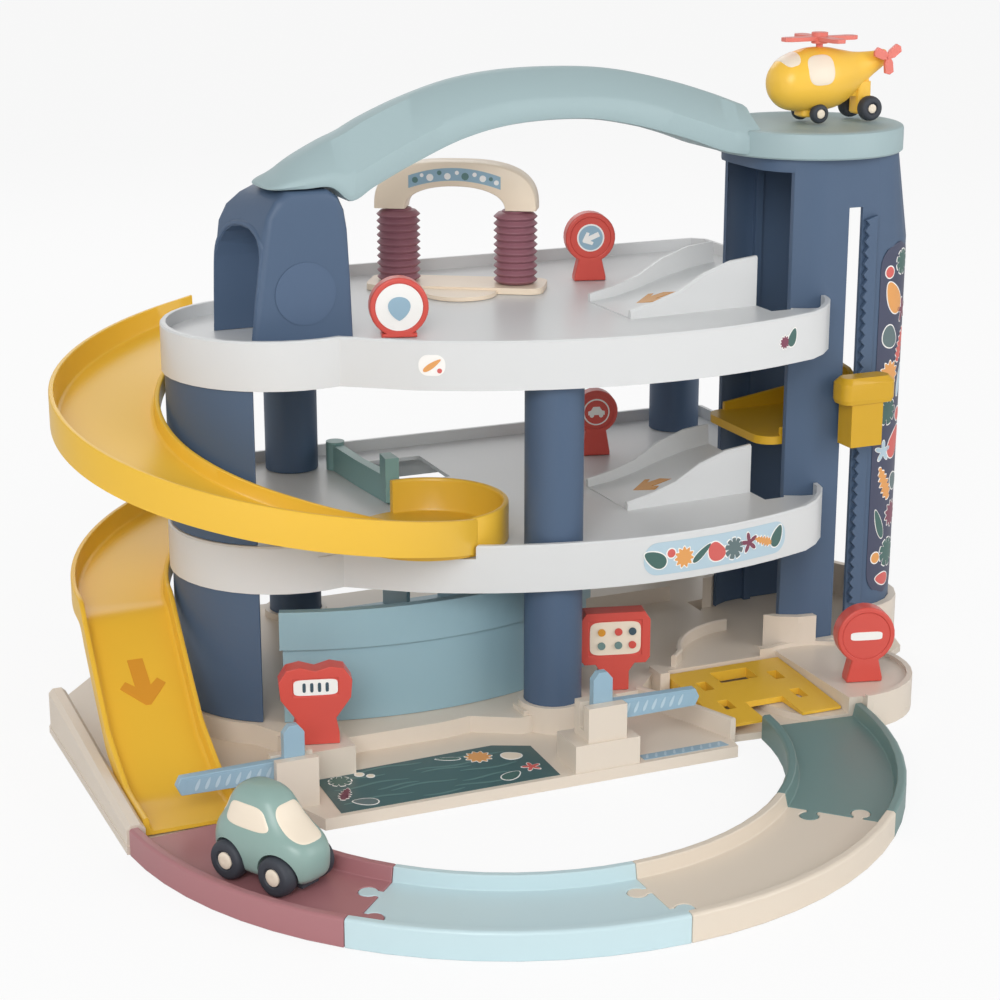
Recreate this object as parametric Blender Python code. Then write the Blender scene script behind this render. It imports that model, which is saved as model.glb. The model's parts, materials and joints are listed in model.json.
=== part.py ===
"""Toy garage: two decks, ramps, lift tower, carrying handle, ring track, toy car and toy helicopter."""
import math

import bmesh
import bpy
from mathutils import Vector

# Units and fits
MM = 0.001
GAP = 0.3
SEG = 24

# Ring track on the floor
RING_OUT = 263.0
RING_WIDTH = 77.0
RING_IN = RING_OUT - RING_WIDTH
RING_TOP = 18.0
RING_WALL = 8.0
RING_FLOOR = 9.0
RING_PLATE = 3.0
RING_START = 185.5
RING_END = 354.5
RING_BORDERS = (226.25, 270.0, 313.75)
KNOB_R = 6.0
KNOB_INSET = 24.0

# Base plate
SLAB_TOP = 5.0
LOW_TOP = 8.0
RAISED_TOP = 20.0
LOBE = (RING_OUT + 3.0, 27.0)
LOBE_R = 59.0
LOBE_TOP = 25.0
COLLAR_TOP = 45.0
COLLAR_WALL = 6.0
FRONT_Y = -39.0
WEDGE_X = -RING_OUT + 6.5
BACK_Y = 337.0

# Decks
DECK_PITCH = 139.0
DECK_FLOOR = 137.0
DECK_SKIRT = 24.0
DECK_RISE = 9.0
DECK_BOTTOM = DECK_FLOOR - DECK_SKIRT
DECK_RIM = DECK_FLOOR + DECK_RISE
DECK_PLATE = 3.0
DECK_WALL = 4.0
LEFT_C = (-98.0, 166.0)
UPPER_FLOOR = DECK_FLOOR + DECK_PITCH
SHELL_R = 76.0
DECK_LEDGE = 2.0
LEFT_R = SHELL_R + DECK_LEDGE
FRONT_C = (130.0, 351.0)
FRONT_R = 336.0
DECK_BACK = 333.0

# Towers and posts
SHELL_WALL = 3.0
POST_R = 20.0
POST_WALL = 3.0
POST_INSET = 36.0
FRONT_POST = (58.0, FRONT_C[1] - FRONT_R + POST_INSET)
LEFT_COLUMN = (-43.0, 307.5)
BACK_POST = (281.0, 301.0)
TOWER_C = (308.0, 143.0)
TOWER_HALF = (62.0, 58.0)
TOWER_CORNER = 40.0
TOWER_WALL = 3.0
TOWER_TOP = DECK_FLOOR + 244.0
HANDLE_DROP = 381.0 - TOWER_TOP
PAD_TOP = TOWER_TOP + 19.0
SLOT_X = (303.0, 314.0)
SLOT_TOP = 346.0
REAR_WINDOW_X = 345.0
CAP_Y = (121.0, 185.0)

# Pivots
LEFT_PIVOT = (-150.0, -8.0, 33.0)
RIGHT_PIVOT = (58.0, -25.0, 44.0)
PLATE_PIVOT = (74.0, 15.0)
GATE_PIVOT = (-14.0, 290.0)

# Ramps
SKIRT_TOP = DECK_BOTTOM - 13.0
SPIRAL_GAP = 2.0
SPIRAL_WIDTH = 74.0
SPIRAL_IN = LEFT_R + SPIRAL_GAP
SPIRAL_OUT = SPIRAL_IN + SPIRAL_WIDTH
SPIRAL_START = 96.0
SPIRAL_END = 312.0
SPIRAL_TOP = DECK_FLOOR + 121.0
SPIRAL_DROP = 0.557
LOWER_TOP = DECK_FLOOR - 19.0
POCKET_C = (-14.0, 102.0)
POCKET_R = 56.0
RAMP_PLATE = 2.5
RAMP_WALL = 4.0

# Car wash
WASH_C = (72.5, 255.5)
WASH_TURN = -31.0
WASH_SPAN = 43.7
ROLLER_R = 16.5
ROLLER_RIBS = 10
ROLLER_SEG = 16

# Toy car and helicopter
WHEEL_SEG = 18
CAR_R = (RING_OUT + RING_IN) / 2 - 1.67
CAR_PLACE = math.radians(208.405)
CAR_AT = (CAR_R * math.cos(CAR_PLACE), CAR_R * math.sin(CAR_PLACE))
CAR_TURN = -61.0
CAR_WHEEL_R = 12.5
CAR_AXLE_Z = RING_FLOOR + GAP + CAR_WHEEL_R
CAR_AXLE_X = 19.0
HELI_AT = (313.0, 141.0)
HELI_TURN = 180.0
PAD_Z = PAD_TOP + GAP
HELI_REAR = (-30.0, PAD_Z + 9.3)
HELI_FRONT = (12.0, PAD_Z + 7.3)

SHADES = {
    "base_beige": ((232, 217, 196), 0.38),
    "deck_white": ((236, 235, 233), 0.3),
    "tower_blue": ((82, 102, 130), 0.5),
    "handle_teal": ((183, 205, 208), 0.5),
    "ramp_yellow": ((232, 184, 66), 0.28),
    "lift_mustard": ((208, 162, 30), 0.35),
    "ground_blue": ((140, 178, 190), 0.32),
    "sign_red": ((214, 88, 78), 0.35),
    "wash_mauve": ((150, 100, 110), 0.4),
    "wash_cream": ((235, 220, 200), 0.35),
    "track_burgundy": ((172, 118, 122), 0.38),
    "track_green": ((106, 138, 138), 0.38),
    "track_blue": ((190, 215, 220), 0.38),
    "track_beige": ((225, 208, 190), 0.38),
    "barrier_blue": ((150, 180, 200), 0.35),
    "gate_green": ((130, 165, 160), 0.38),
    "car_green": ((150, 175, 165), 0.35),
    "cream": ((240, 228, 212), 0.35),
    "tyre_grey": ((60, 65, 75), 0.6),
    "heli_yellow": ((240, 185, 60), 0.35),
    "rotor_coral": ((225, 125, 115), 0.4),
    "axle_steel": ((170, 172, 175), 0.3),
}


def linear(value):
    """Return the linear value of one 0-255 display channel."""
    v = value / 255.0
    return v / 12.92 if v <= 0.04045 else ((v + 0.055) / 1.055) ** 2.4


def material(key):
    """Return the named finish, made on first use."""
    found = bpy.data.materials.get(key)
    if found:
        return found
    colour, rough = SHADES[key]
    made = bpy.data.materials.new(key)
    made.use_nodes = True
    shader = made.node_tree.nodes["Principled BSDF"]
    shader.inputs["Base Color"].default_value = (*[linear(c) for c in colour], 1.0)
    shader.inputs["Roughness"].default_value = rough
    shader.inputs["Metallic"].default_value = 1.0 if key == "axle_steel" else 0.0
    return made


def solid(name, points, faces, shade=None):
    """Build one closed body from points in mm and its faces."""
    mesh = bpy.data.meshes.new(name)
    mesh.from_pydata([Vector(p) * MM for p in points], [], faces)
    bm = bmesh.new()
    bm.from_mesh(mesh)
    bmesh.ops.recalc_face_normals(bm, faces=bm.faces)
    bm.to_mesh(mesh)
    bm.free()
    obj = bpy.data.objects.new(name, mesh)
    bpy.context.scene.collection.objects.link(obj)
    if shade:
        finish(obj, shade)
    return obj


def finish(obj, shade):
    """Give an object its finish and smooth shading with crisp edges."""
    obj.data.materials.clear()
    obj.data.materials.append(material(shade))
    obj.data.polygons.foreach_set("use_smooth", [True] * len(obj.data.polygons))
    obj.data.set_sharp_from_angle(angle=math.radians(35))
    return obj


def loft(name, rings, shade=None, closed=False):
    """Join loops of equal length into one body; a closed loft returns to its first loop."""
    count = len(rings[0])
    points = [p for ring in rings for p in ring]
    faces = []
    last = len(rings) if closed else len(rings) - 1
    for i in range(last):
        j = (i + 1) % len(rings)
        for k in range(count):
            m = (k + 1) % count
            faces.append((i * count + k, i * count + m, j * count + m, j * count + k))
    if not closed:
        faces.append(tuple(range(count - 1, -1, -1)))
        faces.append(tuple((len(rings) - 1) * count + k for k in range(count)))
    return solid(name, points, faces, shade)


def prism(name, outline, z0, z1, shade=None):
    """Raise an outline from z0 to z1."""
    return loft(name, [[(x, y, z) for x, y in outline] for z in (z0, z1)], shade)


def arc(centre, radius, a0, a1, steps):
    """Points of an arc in degrees, both ends included."""
    out = []
    for i in range(steps + 1):
        a = math.radians(a0 + (a1 - a0) * i / steps)
        out.append((centre[0] + radius * math.cos(a), centre[1] + radius * math.sin(a)))
    return out


def circle(centre, radius, steps=SEG):
    """Points once round a circle."""
    return arc(centre, radius, 0.0, 360.0, steps)[:-1]


def sector(centre, r_in, r_out, a0, a1, steps):
    """Outline of a ring's sector."""
    return arc(centre, r_out, a0, a1, steps) + arc(centre, r_in, a1, a0, steps)


def box(name, x, y, z, shade=None):
    """Block between the given limits."""
    outline = [(x[0], y[0]), (x[1], y[0]), (x[1], y[1]), (x[0], y[1])]
    return prism(name, outline, z[0], z[1], shade)


def round_box(centre, half, corner, steps=5):
    """Outline of a rectangle with round corners."""
    out = []
    for sx, sy, a in ((1, 1, 0), (-1, 1, 90), (-1, -1, 180), (1, -1, 270)):
        c = (centre[0] + sx * (half[0] - corner), centre[1] + sy * (half[1] - corner))
        out += arc(c, corner, a, a + 90, steps)
    return out


def offset(outline, amount):
    """Move a counter-clockwise outline outwards by amount, inwards where negative."""
    out = []
    count = len(outline)
    for i, point in enumerate(outline):
        before = Vector(outline[i - 1])
        here = Vector(point)
        after = Vector(outline[(i + 1) % count])
        e0 = (here - before).normalized()
        e1 = (after - here).normalized()
        n0 = Vector((e0.y, -e0.x))
        n1 = Vector((e1.y, -e1.x))
        mid = n0 + n1
        mid = mid / max(mid.dot(n0), 0.35)
        out.append(tuple(here + mid * amount))
    return out


def cylinder(name, centre, radius, z0, z1, shade=None, steps=SEG):
    """Upright cylinder."""
    return prism(name, circle(centre, radius, steps), z0, z1, shade)


def bar(name, start, end, radius, shade=None, steps=12):
    """Round bar between two points."""
    a = Vector(start)
    b = Vector(end)
    axis = (b - a).normalized()
    side = axis.cross(Vector((0, 0, 1)))
    if side.length < 0.1:
        side = axis.cross(Vector((0, 1, 0)))
    side.normalize()
    up = side.cross(axis)
    rings = []
    for c in (a, b):
        ring = []
        for i in range(steps):
            t = 2 * math.pi * i / steps
            ring.append(tuple(c + side * radius * math.cos(t) + up * radius * math.sin(t)))
        rings.append(ring)
    return loft(name, rings, shade)


def combine(target, other, how):
    """Apply one Boolean to target and remove the other body."""
    step = target.modifiers.new("cut", "BOOLEAN")
    step.operation = how
    step.solver = "EXACT"
    step.object = other
    graph = bpy.context.evaluated_depsgraph_get()
    graph.update()
    mesh = bpy.data.meshes.new_from_object(target.evaluated_get(graph))
    target.modifiers.clear()
    old = target.data
    target.data = mesh
    bpy.data.meshes.remove(old)
    bpy.data.objects.remove(other, do_unlink=True)
    return target


def join(target, *others):
    """Union bodies into target."""
    for other in others:
        combine(target, other, "UNION")
    return target


def cut(target, *others):
    """Take bodies away from target."""
    for other in others:
        combine(target, other, "DIFFERENCE")
    return target


def clean(obj, shade):
    """Drop coincident points, then shade."""
    bm = bmesh.new()
    bm.from_mesh(obj.data)
    bmesh.ops.remove_doubles(bm, verts=bm.verts, dist=0.00002)
    bm.to_mesh(obj.data)
    bm.free()
    return finish(obj, shade)


def set_origin(obj, point):
    """Move an object's origin to a point in mm and leave its surface where it is."""
    shift = Vector(point) * MM
    for vertex in obj.data.vertices:
        vertex.co -= shift
    obj.location = shift
    return obj


def offset_y(point, shift):
    """Point moved along Y."""
    return (point[0], point[1] + shift, point[2])


def tower_outline(extra=0.0):
    """Plan of the lift tower, grown by extra."""
    half = (TOWER_HALF[0] + extra, TOWER_HALF[1] + extra)
    return round_box(TOWER_C, half, TOWER_CORNER + extra)


def wall_along(name, path, width, z0, tops):
    """Low wall along a plan path with a top height at each point."""
    rings = []
    for i, point in enumerate(path):
        a = Vector(path[max(i - 1, 0)])
        b = Vector(path[min(i + 1, len(path) - 1)])
        way = (b - a).normalized()
        side = Vector((-way.y, way.x)) * width / 2
        p = Vector(point)
        left = p + side
        right = p - side
        top = tops[i]
        soft = width * 0.25
        inner_l = p + side * 0.5
        inner_r = p - side * 0.5
        rings.append([
            (right.x, right.y, z0), (left.x, left.y, z0), (left.x, left.y, top - soft),
            (inner_l.x, inner_l.y, top), (inner_r.x, inner_r.y, top), (right.x, right.y, top - soft),
        ])
    return loft(name, rings)


def base_plate():
    """Base with low front bay, raised floor, lane walls, lobe and tower collar."""
    edge = math.radians(RING_START - 0.3)
    left_a = (-RING_OUT, RING_OUT * math.sin(edge) / -math.cos(edge))
    left_b = (150 * math.cos(edge), 150 * math.sin(edge))
    right_b = (160 * -math.cos(edge), 160 * math.sin(edge))
    foot = [left_a, left_b, (-140, FRONT_Y), (155, FRONT_Y), right_b, (RING_OUT - 0.1, -23.9)]
    foot += arc(LOBE, LOBE_R, -60, 10, 8)
    foot += [(352, 80), (370, 92), (376, 110), (376, 180), (366, 198), (345, 212), (330, 240)]
    foot += [(330, BACK_Y - 10), (320, BACK_Y), (-150, BACK_Y), (-200, 290), (-240, 240), (-RING_OUT, 190)]
    base = prism("base_plate", foot, 0, SLAB_TOP)
    low = [left_b, (-140, FRONT_Y), (155, FRONT_Y), right_b, (172, 62), (-172, 62)]
    raised = [(-22, 53), (-2, 56), (28, 39), (84, 39), (92, 53), (127, 53), (150, 79), (247, 79)]
    raised += [(247, 208), (329, 216), (329, BACK_Y - 12), (318, BACK_Y - 1), (-140, BACK_Y - 1), (-165, 300)]
    raised += arc(LEFT_C, SHELL_R + 3, 118, 236, 14) + [(-120, 60), (-100, 53)]
    lane_wall = arc((246, 70), 70, 92, 160, 8) + [(170, 84)]
    join(
        base,
        prism("low", low, 0, LOW_TOP),
        prism("raised", raised, 0, RAISED_TOP),
        cylinder("lobe", LOBE, LOBE_R, 0, LOBE_TOP, steps=32),
        prism("collar", tower_outline(COLLAR_WALL), 0, COLLAR_TOP),
    )
    cut(
        base,
        cylinder("lobe_pan", LOBE, LOBE_R - 4, 22, 40, steps=32),
        box("lane_pan", (158, 252), (-60, 79), (10, 60)),
        prism("collar_pan", tower_outline(GAP), RAISED_TOP, 60),
        box("collar_mouth", (200, 262), (96, 190), (RAISED_TOP, 60)),
        box("grip_way", (286, 338), (70, 90), (25, 60)),
        prism("ring_space", sector((0, 0), RING_IN - 8, RING_OUT + GAP, 330, RING_END + 0.3, 24), -1, 60),
    )
    wedge_tops = [18, 21, 25, 29, 33]
    wedge_path = [(WEDGE_X, -22), (WEDGE_X, 30), (WEDGE_X, 80), (WEDGE_X, 130), (WEDGE_X, 188)]
    join(
        base,
        wall_along("wedge", wedge_path, 12, 2, wedge_tops),
        wall_along("lane", lane_wall, 4, 12, [29] * len(lane_wall)),
        wall_along("bay_wall", [(127, 56), (137, 36), (149, 4), (158, -26)], 5, 4, [22, 22, 22, 23]),
        box("shelf", (150, 236), (216, 300), (14, 32)),
        box("meter_foot", (-140, -98), (20, 56), (4, 28)),
        cylinder("post_collar", FRONT_POST, POST_R + 4, 4, 27, steps=28),
        cylinder("column_collar", LEFT_COLUMN, POST_R + 4, 4, 25, steps=28),
        cylinder("back_collar", BACK_POST, POST_R + 4, 4, 25, steps=28),
        box("step", (32, 84), (42, 60), (4, 23)),
        box("plate_lug", (150, 157.6), (66, 84), (4, 24)),
        box("gate_left", (-164, -136), (-17, 1), (4, 41)),
        box("gate_right", (34, 81), (-38, -8), (4, 27)),
        box("gate_right_head", (44, 72), (-36, -14), (4, 51)),
    )
    cut(
        base,
        cylinder("post_seat", FRONT_POST, POST_R + GAP, RAISED_TOP, 60, steps=28),
        cylinder("column_seat", LEFT_COLUMN, POST_R + GAP, RAISED_TOP, 60, steps=28),
        cylinder("back_seat", BACK_POST, POST_R + GAP, RAISED_TOP, 60, steps=28),
        box("slot_left", (-170, -130), (LEFT_PIVOT[1] - 3.3, LEFT_PIVOT[1] + 3.3), (22, 60)),
        box("slot_right", (30, 90), (RIGHT_PIVOT[1] - 3.3, RIGHT_PIVOT[1] + 3.3), (33, 60)),
        bar("hole_left", offset_y(LEFT_PIVOT, -6.5), offset_y(LEFT_PIVOT, 6.5), 3.3, steps=16),
        bar("hole_right", offset_y(RIGHT_PIVOT, -6.5), offset_y(RIGHT_PIVOT, 6.5), 3.3, steps=16),
        bar("plate_hole", (152, *PLATE_PIVOT), (258, *PLATE_PIVOT), 2.8, steps=16),
        box("under_a", (-142, -44), (118, 220), (-1, 16)),
        box("under_b", (-34, 56), (84, 290), (-1, 16)),
        box("under_c", (66, 148), (92, 320), (-1, 16)),
        box("under_d", (156, 236), (92, 204), (-1, 16)),
        box("under_e", (156, 250), (222, 324), (-1, 16)),
    )
    return clean(base, "base_beige")


def deck_outline():
    """Plan shared by both decks."""
    out = arc(LEFT_C, LEFT_R, 92, 284, 20)
    out += arc(FRONT_C, FRONT_R, 240, 287.5, 16)
    out += [(248, 36), (262, 46), (274, 59), (284, 75), (288, 92), (288, 150), (318, 204)]
    out += [(320, 212), (320, DECK_BACK - 10), (310, DECK_BACK), (-70, DECK_BACK), (-84, 326), (-93, 308)]
    return out


def exit_ramp(name, base_z):
    """Ramp between two cheeks that climbs to the lift."""
    xs = (140, 160, 180, 200, 222, 243.4)
    floors = (0.6, 2.5, 7, 13, 18, 21)
    tops = (6, 10, 16, 27, 34, 36)
    rings = []
    for x, f, t in zip(xs, floors, tops):
        z = base_z + f
        h = base_z + t
        skew = (243.4 - x) * 0.06
        low = base_z - 1.5
        rings.append([
            (x, 109 - skew, low), (x, 109 - skew, h - 1.5), (x, 110.2 - skew, h), (x, 112.6 - skew, h),
            (x, 113.6 - skew, z), (x, 173.4 - skew, z), (x, 174.4 - skew, h), (x, 176.8 - skew, h),
            (x, 178 - skew, h - 1.5), (x, 178 - skew, low),
        ])
    return loft(name, rings)


def deck(name, level):
    """One parking deck: plate, rim, skirt and exit ramp."""
    up = DECK_PITCH * (level - 1)
    outline = deck_outline()
    body = prism(name, outline, DECK_BOTTOM + up, DECK_RIM - 1.2 + up)
    soft = loft("soft", [
        [(x, y, DECK_RIM - 1.3 + up) for x, y in outline],
        [(x, y, DECK_RIM + up) for x, y in offset(outline, -1.0)],
    ])
    join(body, soft)
    inner = offset(outline, -DECK_WALL)
    cut(
        body,
        prism("pan", inner, DECK_FLOOR + up, DECK_RIM + 5 + up),
        prism("under", inner, DECK_BOTTOM - 1 + up, DECK_FLOOR - DECK_PLATE + up),
    )
    join(body, exit_ramp("exit", DECK_FLOOR + up))
    cut(body, prism("tower_space", tower_outline(0.8), DECK_BOTTOM - 2 + up, DECK_RIM + 60 + up))
    cut(body, box("mouth", (244, 262), (88, 198), (DECK_BOTTOM - 2 + up, DECK_RIM + 60 + up)))
    if level == 1:
        band = sector(LEFT_C, SPIRAL_IN - 3, SPIRAL_OUT + 2, 270, 318, 14)
        cut(
            body,
            prism("spiral_space", band, DECK_FLOOR, 170),
            box("lane_hole", (-2, 58), (236, 300), (DECK_BOTTOM - 2, 170)),
            cylinder("gate_hole", GATE_PIVOT, 3.3, DECK_BOTTOM, 150, steps=16),
        )
    cut(body, box("way_out", (-130, -88), (250, 306), (DECK_FLOOR + up, 160 + up)))
    return clean(body, "deck_white")


def shell(name, z0, z1):
    """Curved wall of the left tower."""
    outline = sector(LEFT_C, SHELL_R - SHELL_WALL, SHELL_R, 100, 240, 18)
    return prism(name, outline, z0, z1, "tower_blue")


def post(name, centre, z0, z1):
    """Hollow round post, open at its foot."""
    body = cylinder(name, centre, POST_R, z0, z1, steps=32)
    cut(body, cylinder("bore", centre, POST_R - POST_WALL, z0 - 1, z1 - 3, steps=32))
    return clean(body, "tower_blue")


def tower_cap():
    """Head of the left tower, a gate for toy cars over the upper deck."""
    z0 = UPPER_FLOOR + GAP
    front = ((-128, 0), (-124.5, 29), (-121.5, 50), (-118.5, 72), (-115, 85), (-109.5, 94.5), (-102, 100))
    back = ((-137.5, 0), (-136, 29), (-134.5, 54), (-131.5, 76), (-126, 86), (-116, 93.5), (-104, 98.8))
    right = ((-73, 100), (-66, 95), (-62, 86), (-60, 73), (-58.5, 44), (-57, 0))
    mid = (CAP_Y[0] + CAP_Y[1]) / 2
    rings = []
    for y, inset in zip((121, 122.2, 125, mid, 181, 183.8, 185), (3.4, 1.2, 0, 0, 0, 1.2, 3.4)):
        t = (y - CAP_Y[0]) / (CAP_Y[1] - CAP_Y[0])
        ring = [(a[0] + (b[0] - a[0]) * t + inset, z0 + a[1] + (b[1] - a[1]) * t) for a, b in zip(front, back)]
        ring += [(x - inset, z0 + z) for x, z in right]
        rings.append([(x, y, max(z0, z - inset * min(1.0, (z - z0) / 90))) for x, z in ring])
    body = loft("left_tower_cap", rings)
    gate = [(124.5, -2), (124.5, 58), (127, 66), (132, 71), (141, 74.5), (152, 75.5), (163, 74), (172, 69), (178, 61)]
    gate += [(181, 50), (181, -2)]
    cut(body, loft("gate", [[(x, y, z0 + z) for y, z in gate] for x in (-170, -30)]))
    return clean(body, "tower_blue")


def lift_tower():
    """Lift shaft: rounded shell with open left side, guide ribs and a front slot."""
    outline = tower_outline()
    body = prism("lift_tower_shell", outline, RAISED_TOP + GAP, 320)
    narrow = [(x - max(0.0, (x - 308) / 62) * 11, y) for x, y in outline]
    upper = loft("upper", [
        [(x, y, 319.9) for x, y in outline],
        [(x, y, TOWER_TOP) for x, y in narrow],
    ])
    join(body, upper)
    inner = tower_outline(-TOWER_WALL)
    slim = [(x - max(0.0, (x - 308) / 59) * 11, y) for x, y in inner]
    bore = loft("bore", [
        [(x, y, 10) for x, y in inner],
        [(x, y, 319.9) for x, y in inner],
        [(x, y, TOWER_TOP - 3) for x, y in slim],
    ])
    cut(
        body,
        bore,
        box("mouth", (230, 262), (60, 200), (0, 372)),
        box("slot", SLOT_X, (70, 100), (0, SLOT_TOP)),
        box("rear_window", (REAR_WINDOW_X, 380), (154, 210), (0, SLOT_TOP)),
    )
    join(
        body,
        box("rib_a", (336, 342), (90, 94), (RAISED_TOP + GAP, 330)),
        box("rib_b", (290, 296), (194, 199.5), (RAISED_TOP + GAP, 376)),
        box("rib_c", (330, 336), (194, 199.5), (RAISED_TOP + GAP, 376)),
    )
    return clean(body, "tower_blue")


def rack_strip():
    """Toothed strip beside the tower slot."""
    teeth = []
    z = 50.0
    while z < 338.0:
        teeth += [(315.0, z), (318.0, z + 3.5), (315.0, z + 7.0)]
        z += 8.0
    outline = teeth + [(325.0, 340.0), (325.0, 47.0)]
    return loft("rack_strip", [[(x, y, z) for x, z in outline] for y in (81.0, 84.7)], "tower_blue")


def handle_arch():
    """Carrying handle with finger recess and round landing pad."""
    table = (
        (-112, 376.6, 377.6, 379.5, 138, 168), (-109, 376.6, 378.5, 382, 130, 173),
        (-102, 376.6, 380.5, 387, 125, 176), (-88, 376.6, 383.5, 396, 123, 177), (-70, 376.6, 387, 406, 123, 177),
        (-56, 366.5, 386, 411, 123, 176), (-39, 376, 394, 420, 123, 175), (-10, 390, 408, 432, 123, 173),
        (25, 404, 421, 442, 123, 172), (64, 412, 428, 447, 123, 172), (112, 413, 428, 447, 123, 172),
        (150, 407, 424, 443, 123, 173), (190, 396, 413, 434, 122, 175), (222, 385, 402, 424, 119, 178),
        (243, 382, 396, 416, 114, 182), (262, 381.3, 391, 410, 108, 187), (285, 381.3, 389, 404, 100, 190),
        (310, 381.3, 388, 401, 98, 190),
    )
    rings = []
    for x, low, crease, top, y0, y1 in table:
        low, crease, top = low - HANDLE_DROP, crease - HANDLE_DROP, top - HANDLE_DROP
        rings.append([
            (x, y0 + 4, low), (x, y0, low + 4 if crease - low > 6 else low + 1.5), (x, y0 + 1, crease),
            (x, y0 + 20, top), (x, y1 - 18, top), (x, y1 - 1, crease),
            (x, y1, low + 4 if crease - low > 6 else low + 1.5), (x, y1 - 4, low),
        ])
    body = loft("handle_arch", rings)
    pad = (TOWER_C[0] - 7, TOWER_C[1])
    join(body, cylinder("pad", pad, TOWER_HALF[0] + 7, TOWER_TOP + GAP, PAD_TOP, steps=48))
    recess = loft("recess", [
        [(x, y, z - 4) for y, z in ((132, low), (132, low + 12), (138, low + 17), (157, low + 17), (163, low + 12),
                                    (163, low))]
        for x, low in ((27, 404), (64, 411.5), (112, 412.5), (150, 407))
    ])
    cut(body, recess, cylinder("landing_space", pad, 58, PAD_TOP, PAD_TOP + 30, steps=48))
    return clean(body, "handle_teal")


def lift_platform():
    """Lift car floor with back wall and the neck that passes the slot."""
    plan = round_box((292, 143), (46, 44), 14)
    body = prism("lift_platform", plan, 174, 180)
    arch = [(104, 178), (104, 196), (112, 209), (128, 218), (143, 220), (158, 218), (174, 209), (182, 196), (182, 178)]
    join(
        body,
        loft("wall", [[(x, y, z) for y, z in arch] for x in (333, 337)]),
        wall_along("side_a", [(262, 101), (333, 101)], 3, 178, [186, 196]),
        wall_along("side_b", [(262, 185), (333, 185)], 3, 178, [186, 196]),
        box("neck", (305.3, 311.7), (72, 100), (177, 199)),
    )
    return clean(body, "lift_mustard")


def lift_grip():
    """Outside grip fixed to the lift's neck."""
    body = box("lift_grip", (298, 324), (62, 80), (176, 209))
    cap = loft("cap", [
        [(x, y, z) for x, y in round_box((312, 70), half, 6, 3)]
        for half, z in (((21, 9.5), 208), ((22, 10), 211), ((22, 10), 223), ((19, 7), 227))
    ])
    join(body, cap)
    cut(
        body,
        box("neck_seat", (305, 312), (71.7, 90), (176.7, 199.3)),
        box("pawl_seat", (315.7, 322.3), (75, 90), (185.7, 194.3)),
    )
    return clean(body, "lift_mustard")


def lift_pawl():
    """Click pawl between grip and rack."""
    outline = [(75.3, 186), (79.5, 186), (80.6, 190), (79.5, 194), (75.3, 194)]
    return loft("lift_pawl", [[(x, y, z) for y, z in outline] for x in (316, 322)], "cream")


def channel(point, out, floor, half, tops, plate=RAMP_PLATE, wall=RAMP_WALL):
    """Cross-section loop of an open channel; out is the plan direction of its outer side."""
    low = floor - plate
    section = [
        (-half, low), (-half, floor + tops[0] - 1), (-half + 1, floor + tops[0]), (-half + wall - 1, floor + tops[0]),
        (-half + wall, floor), (half - wall, floor), (half - wall + 1, floor + tops[1]),
        (half - 1, floor + tops[1]), (half, floor + tops[1] - 1), (half, low),
    ]
    return [(point[0] + out[0] * s, point[1] + out[1] * s, z) for s, z in section]


def ramp_upper():
    """Spiral ramp from the upper deck that turns back on to the lower deck."""
    mid = (SPIRAL_IN + SPIRAL_OUT) / 2
    half = (SPIRAL_OUT - SPIRAL_IN) / 2
    rings = []
    steps = 24
    for i in range(steps + 1):
        deg = SPIRAL_START + (SPIRAL_END - SPIRAL_START) * i / steps
        a = math.radians(deg)
        out = (math.cos(a), math.sin(a))
        at = (LEFT_C[0] + mid * out[0], LEFT_C[1] + mid * out[1])
        floor = SPIRAL_TOP - SPIRAL_DROP * (deg - 100)
        rise = 14 + 8 * min(1.0, max(0.0, (deg - 100) / 80))
        inner = 10 + 2 * min(1.0, max(0.0, (deg - 200) / 60))
        rings.append(channel(at, out, floor, half, (inner, rise)))
    body = loft("ramp_upper", rings)
    floor = prism("floor", circle(POCKET_C, POCKET_R, 32), DECK_FLOOR + 0.5, DECK_FLOOR + 3.2)
    wall = prism("wall", sector(POCKET_C, POCKET_R - 4, POCKET_R, -82, 96, 22), DECK_FLOOR + 0.5, DECK_RIM + 18)
    trim = prism("trim", sector(LEFT_C, SPIRAL_IN + 4, SPIRAL_OUT - 4, 270, 313, 12), DECK_FLOOR + 4.5, DECK_RIM + 44)
    join(floor, wall)
    cut(floor, trim)
    join(body, floor)
    return clean(body, "ramp_yellow")


def ramp_lower():
    """Lower ramp from the first deck round the left tower to the floor track."""
    rings = []
    for i in range(11):
        deg = 100 + 80 * i / 10
        a = math.radians(deg)
        out = (math.cos(a), math.sin(a))
        half = 36.5 - 3.5 * i / 10
        mid = SHELL_R + 3 + half
        at = (LEFT_C[0] + mid * out[0], LEFT_C[1] + mid * out[1])
        rings.append(channel(at, out, LOWER_TOP - (deg - 115) * 0.477, half, (12, 14)))
    for i in range(1, 13):
        y = 166 - 181 * i / 12
        t = max(0.0, (y - 25) / 141)
        x = -210 - 7 * min(1.0, i / 6)
        rings.append(channel((x, y), (-1, 0), RING_FLOOR + (LOWER_TOP - 31 - RING_FLOOR) * t ** 1.25, 33, (12 - i * 0.3, 14 - i * 0.4)))
    body = loft("ramp_lower", rings)
    return clean(body, "ramp_yellow")


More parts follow.
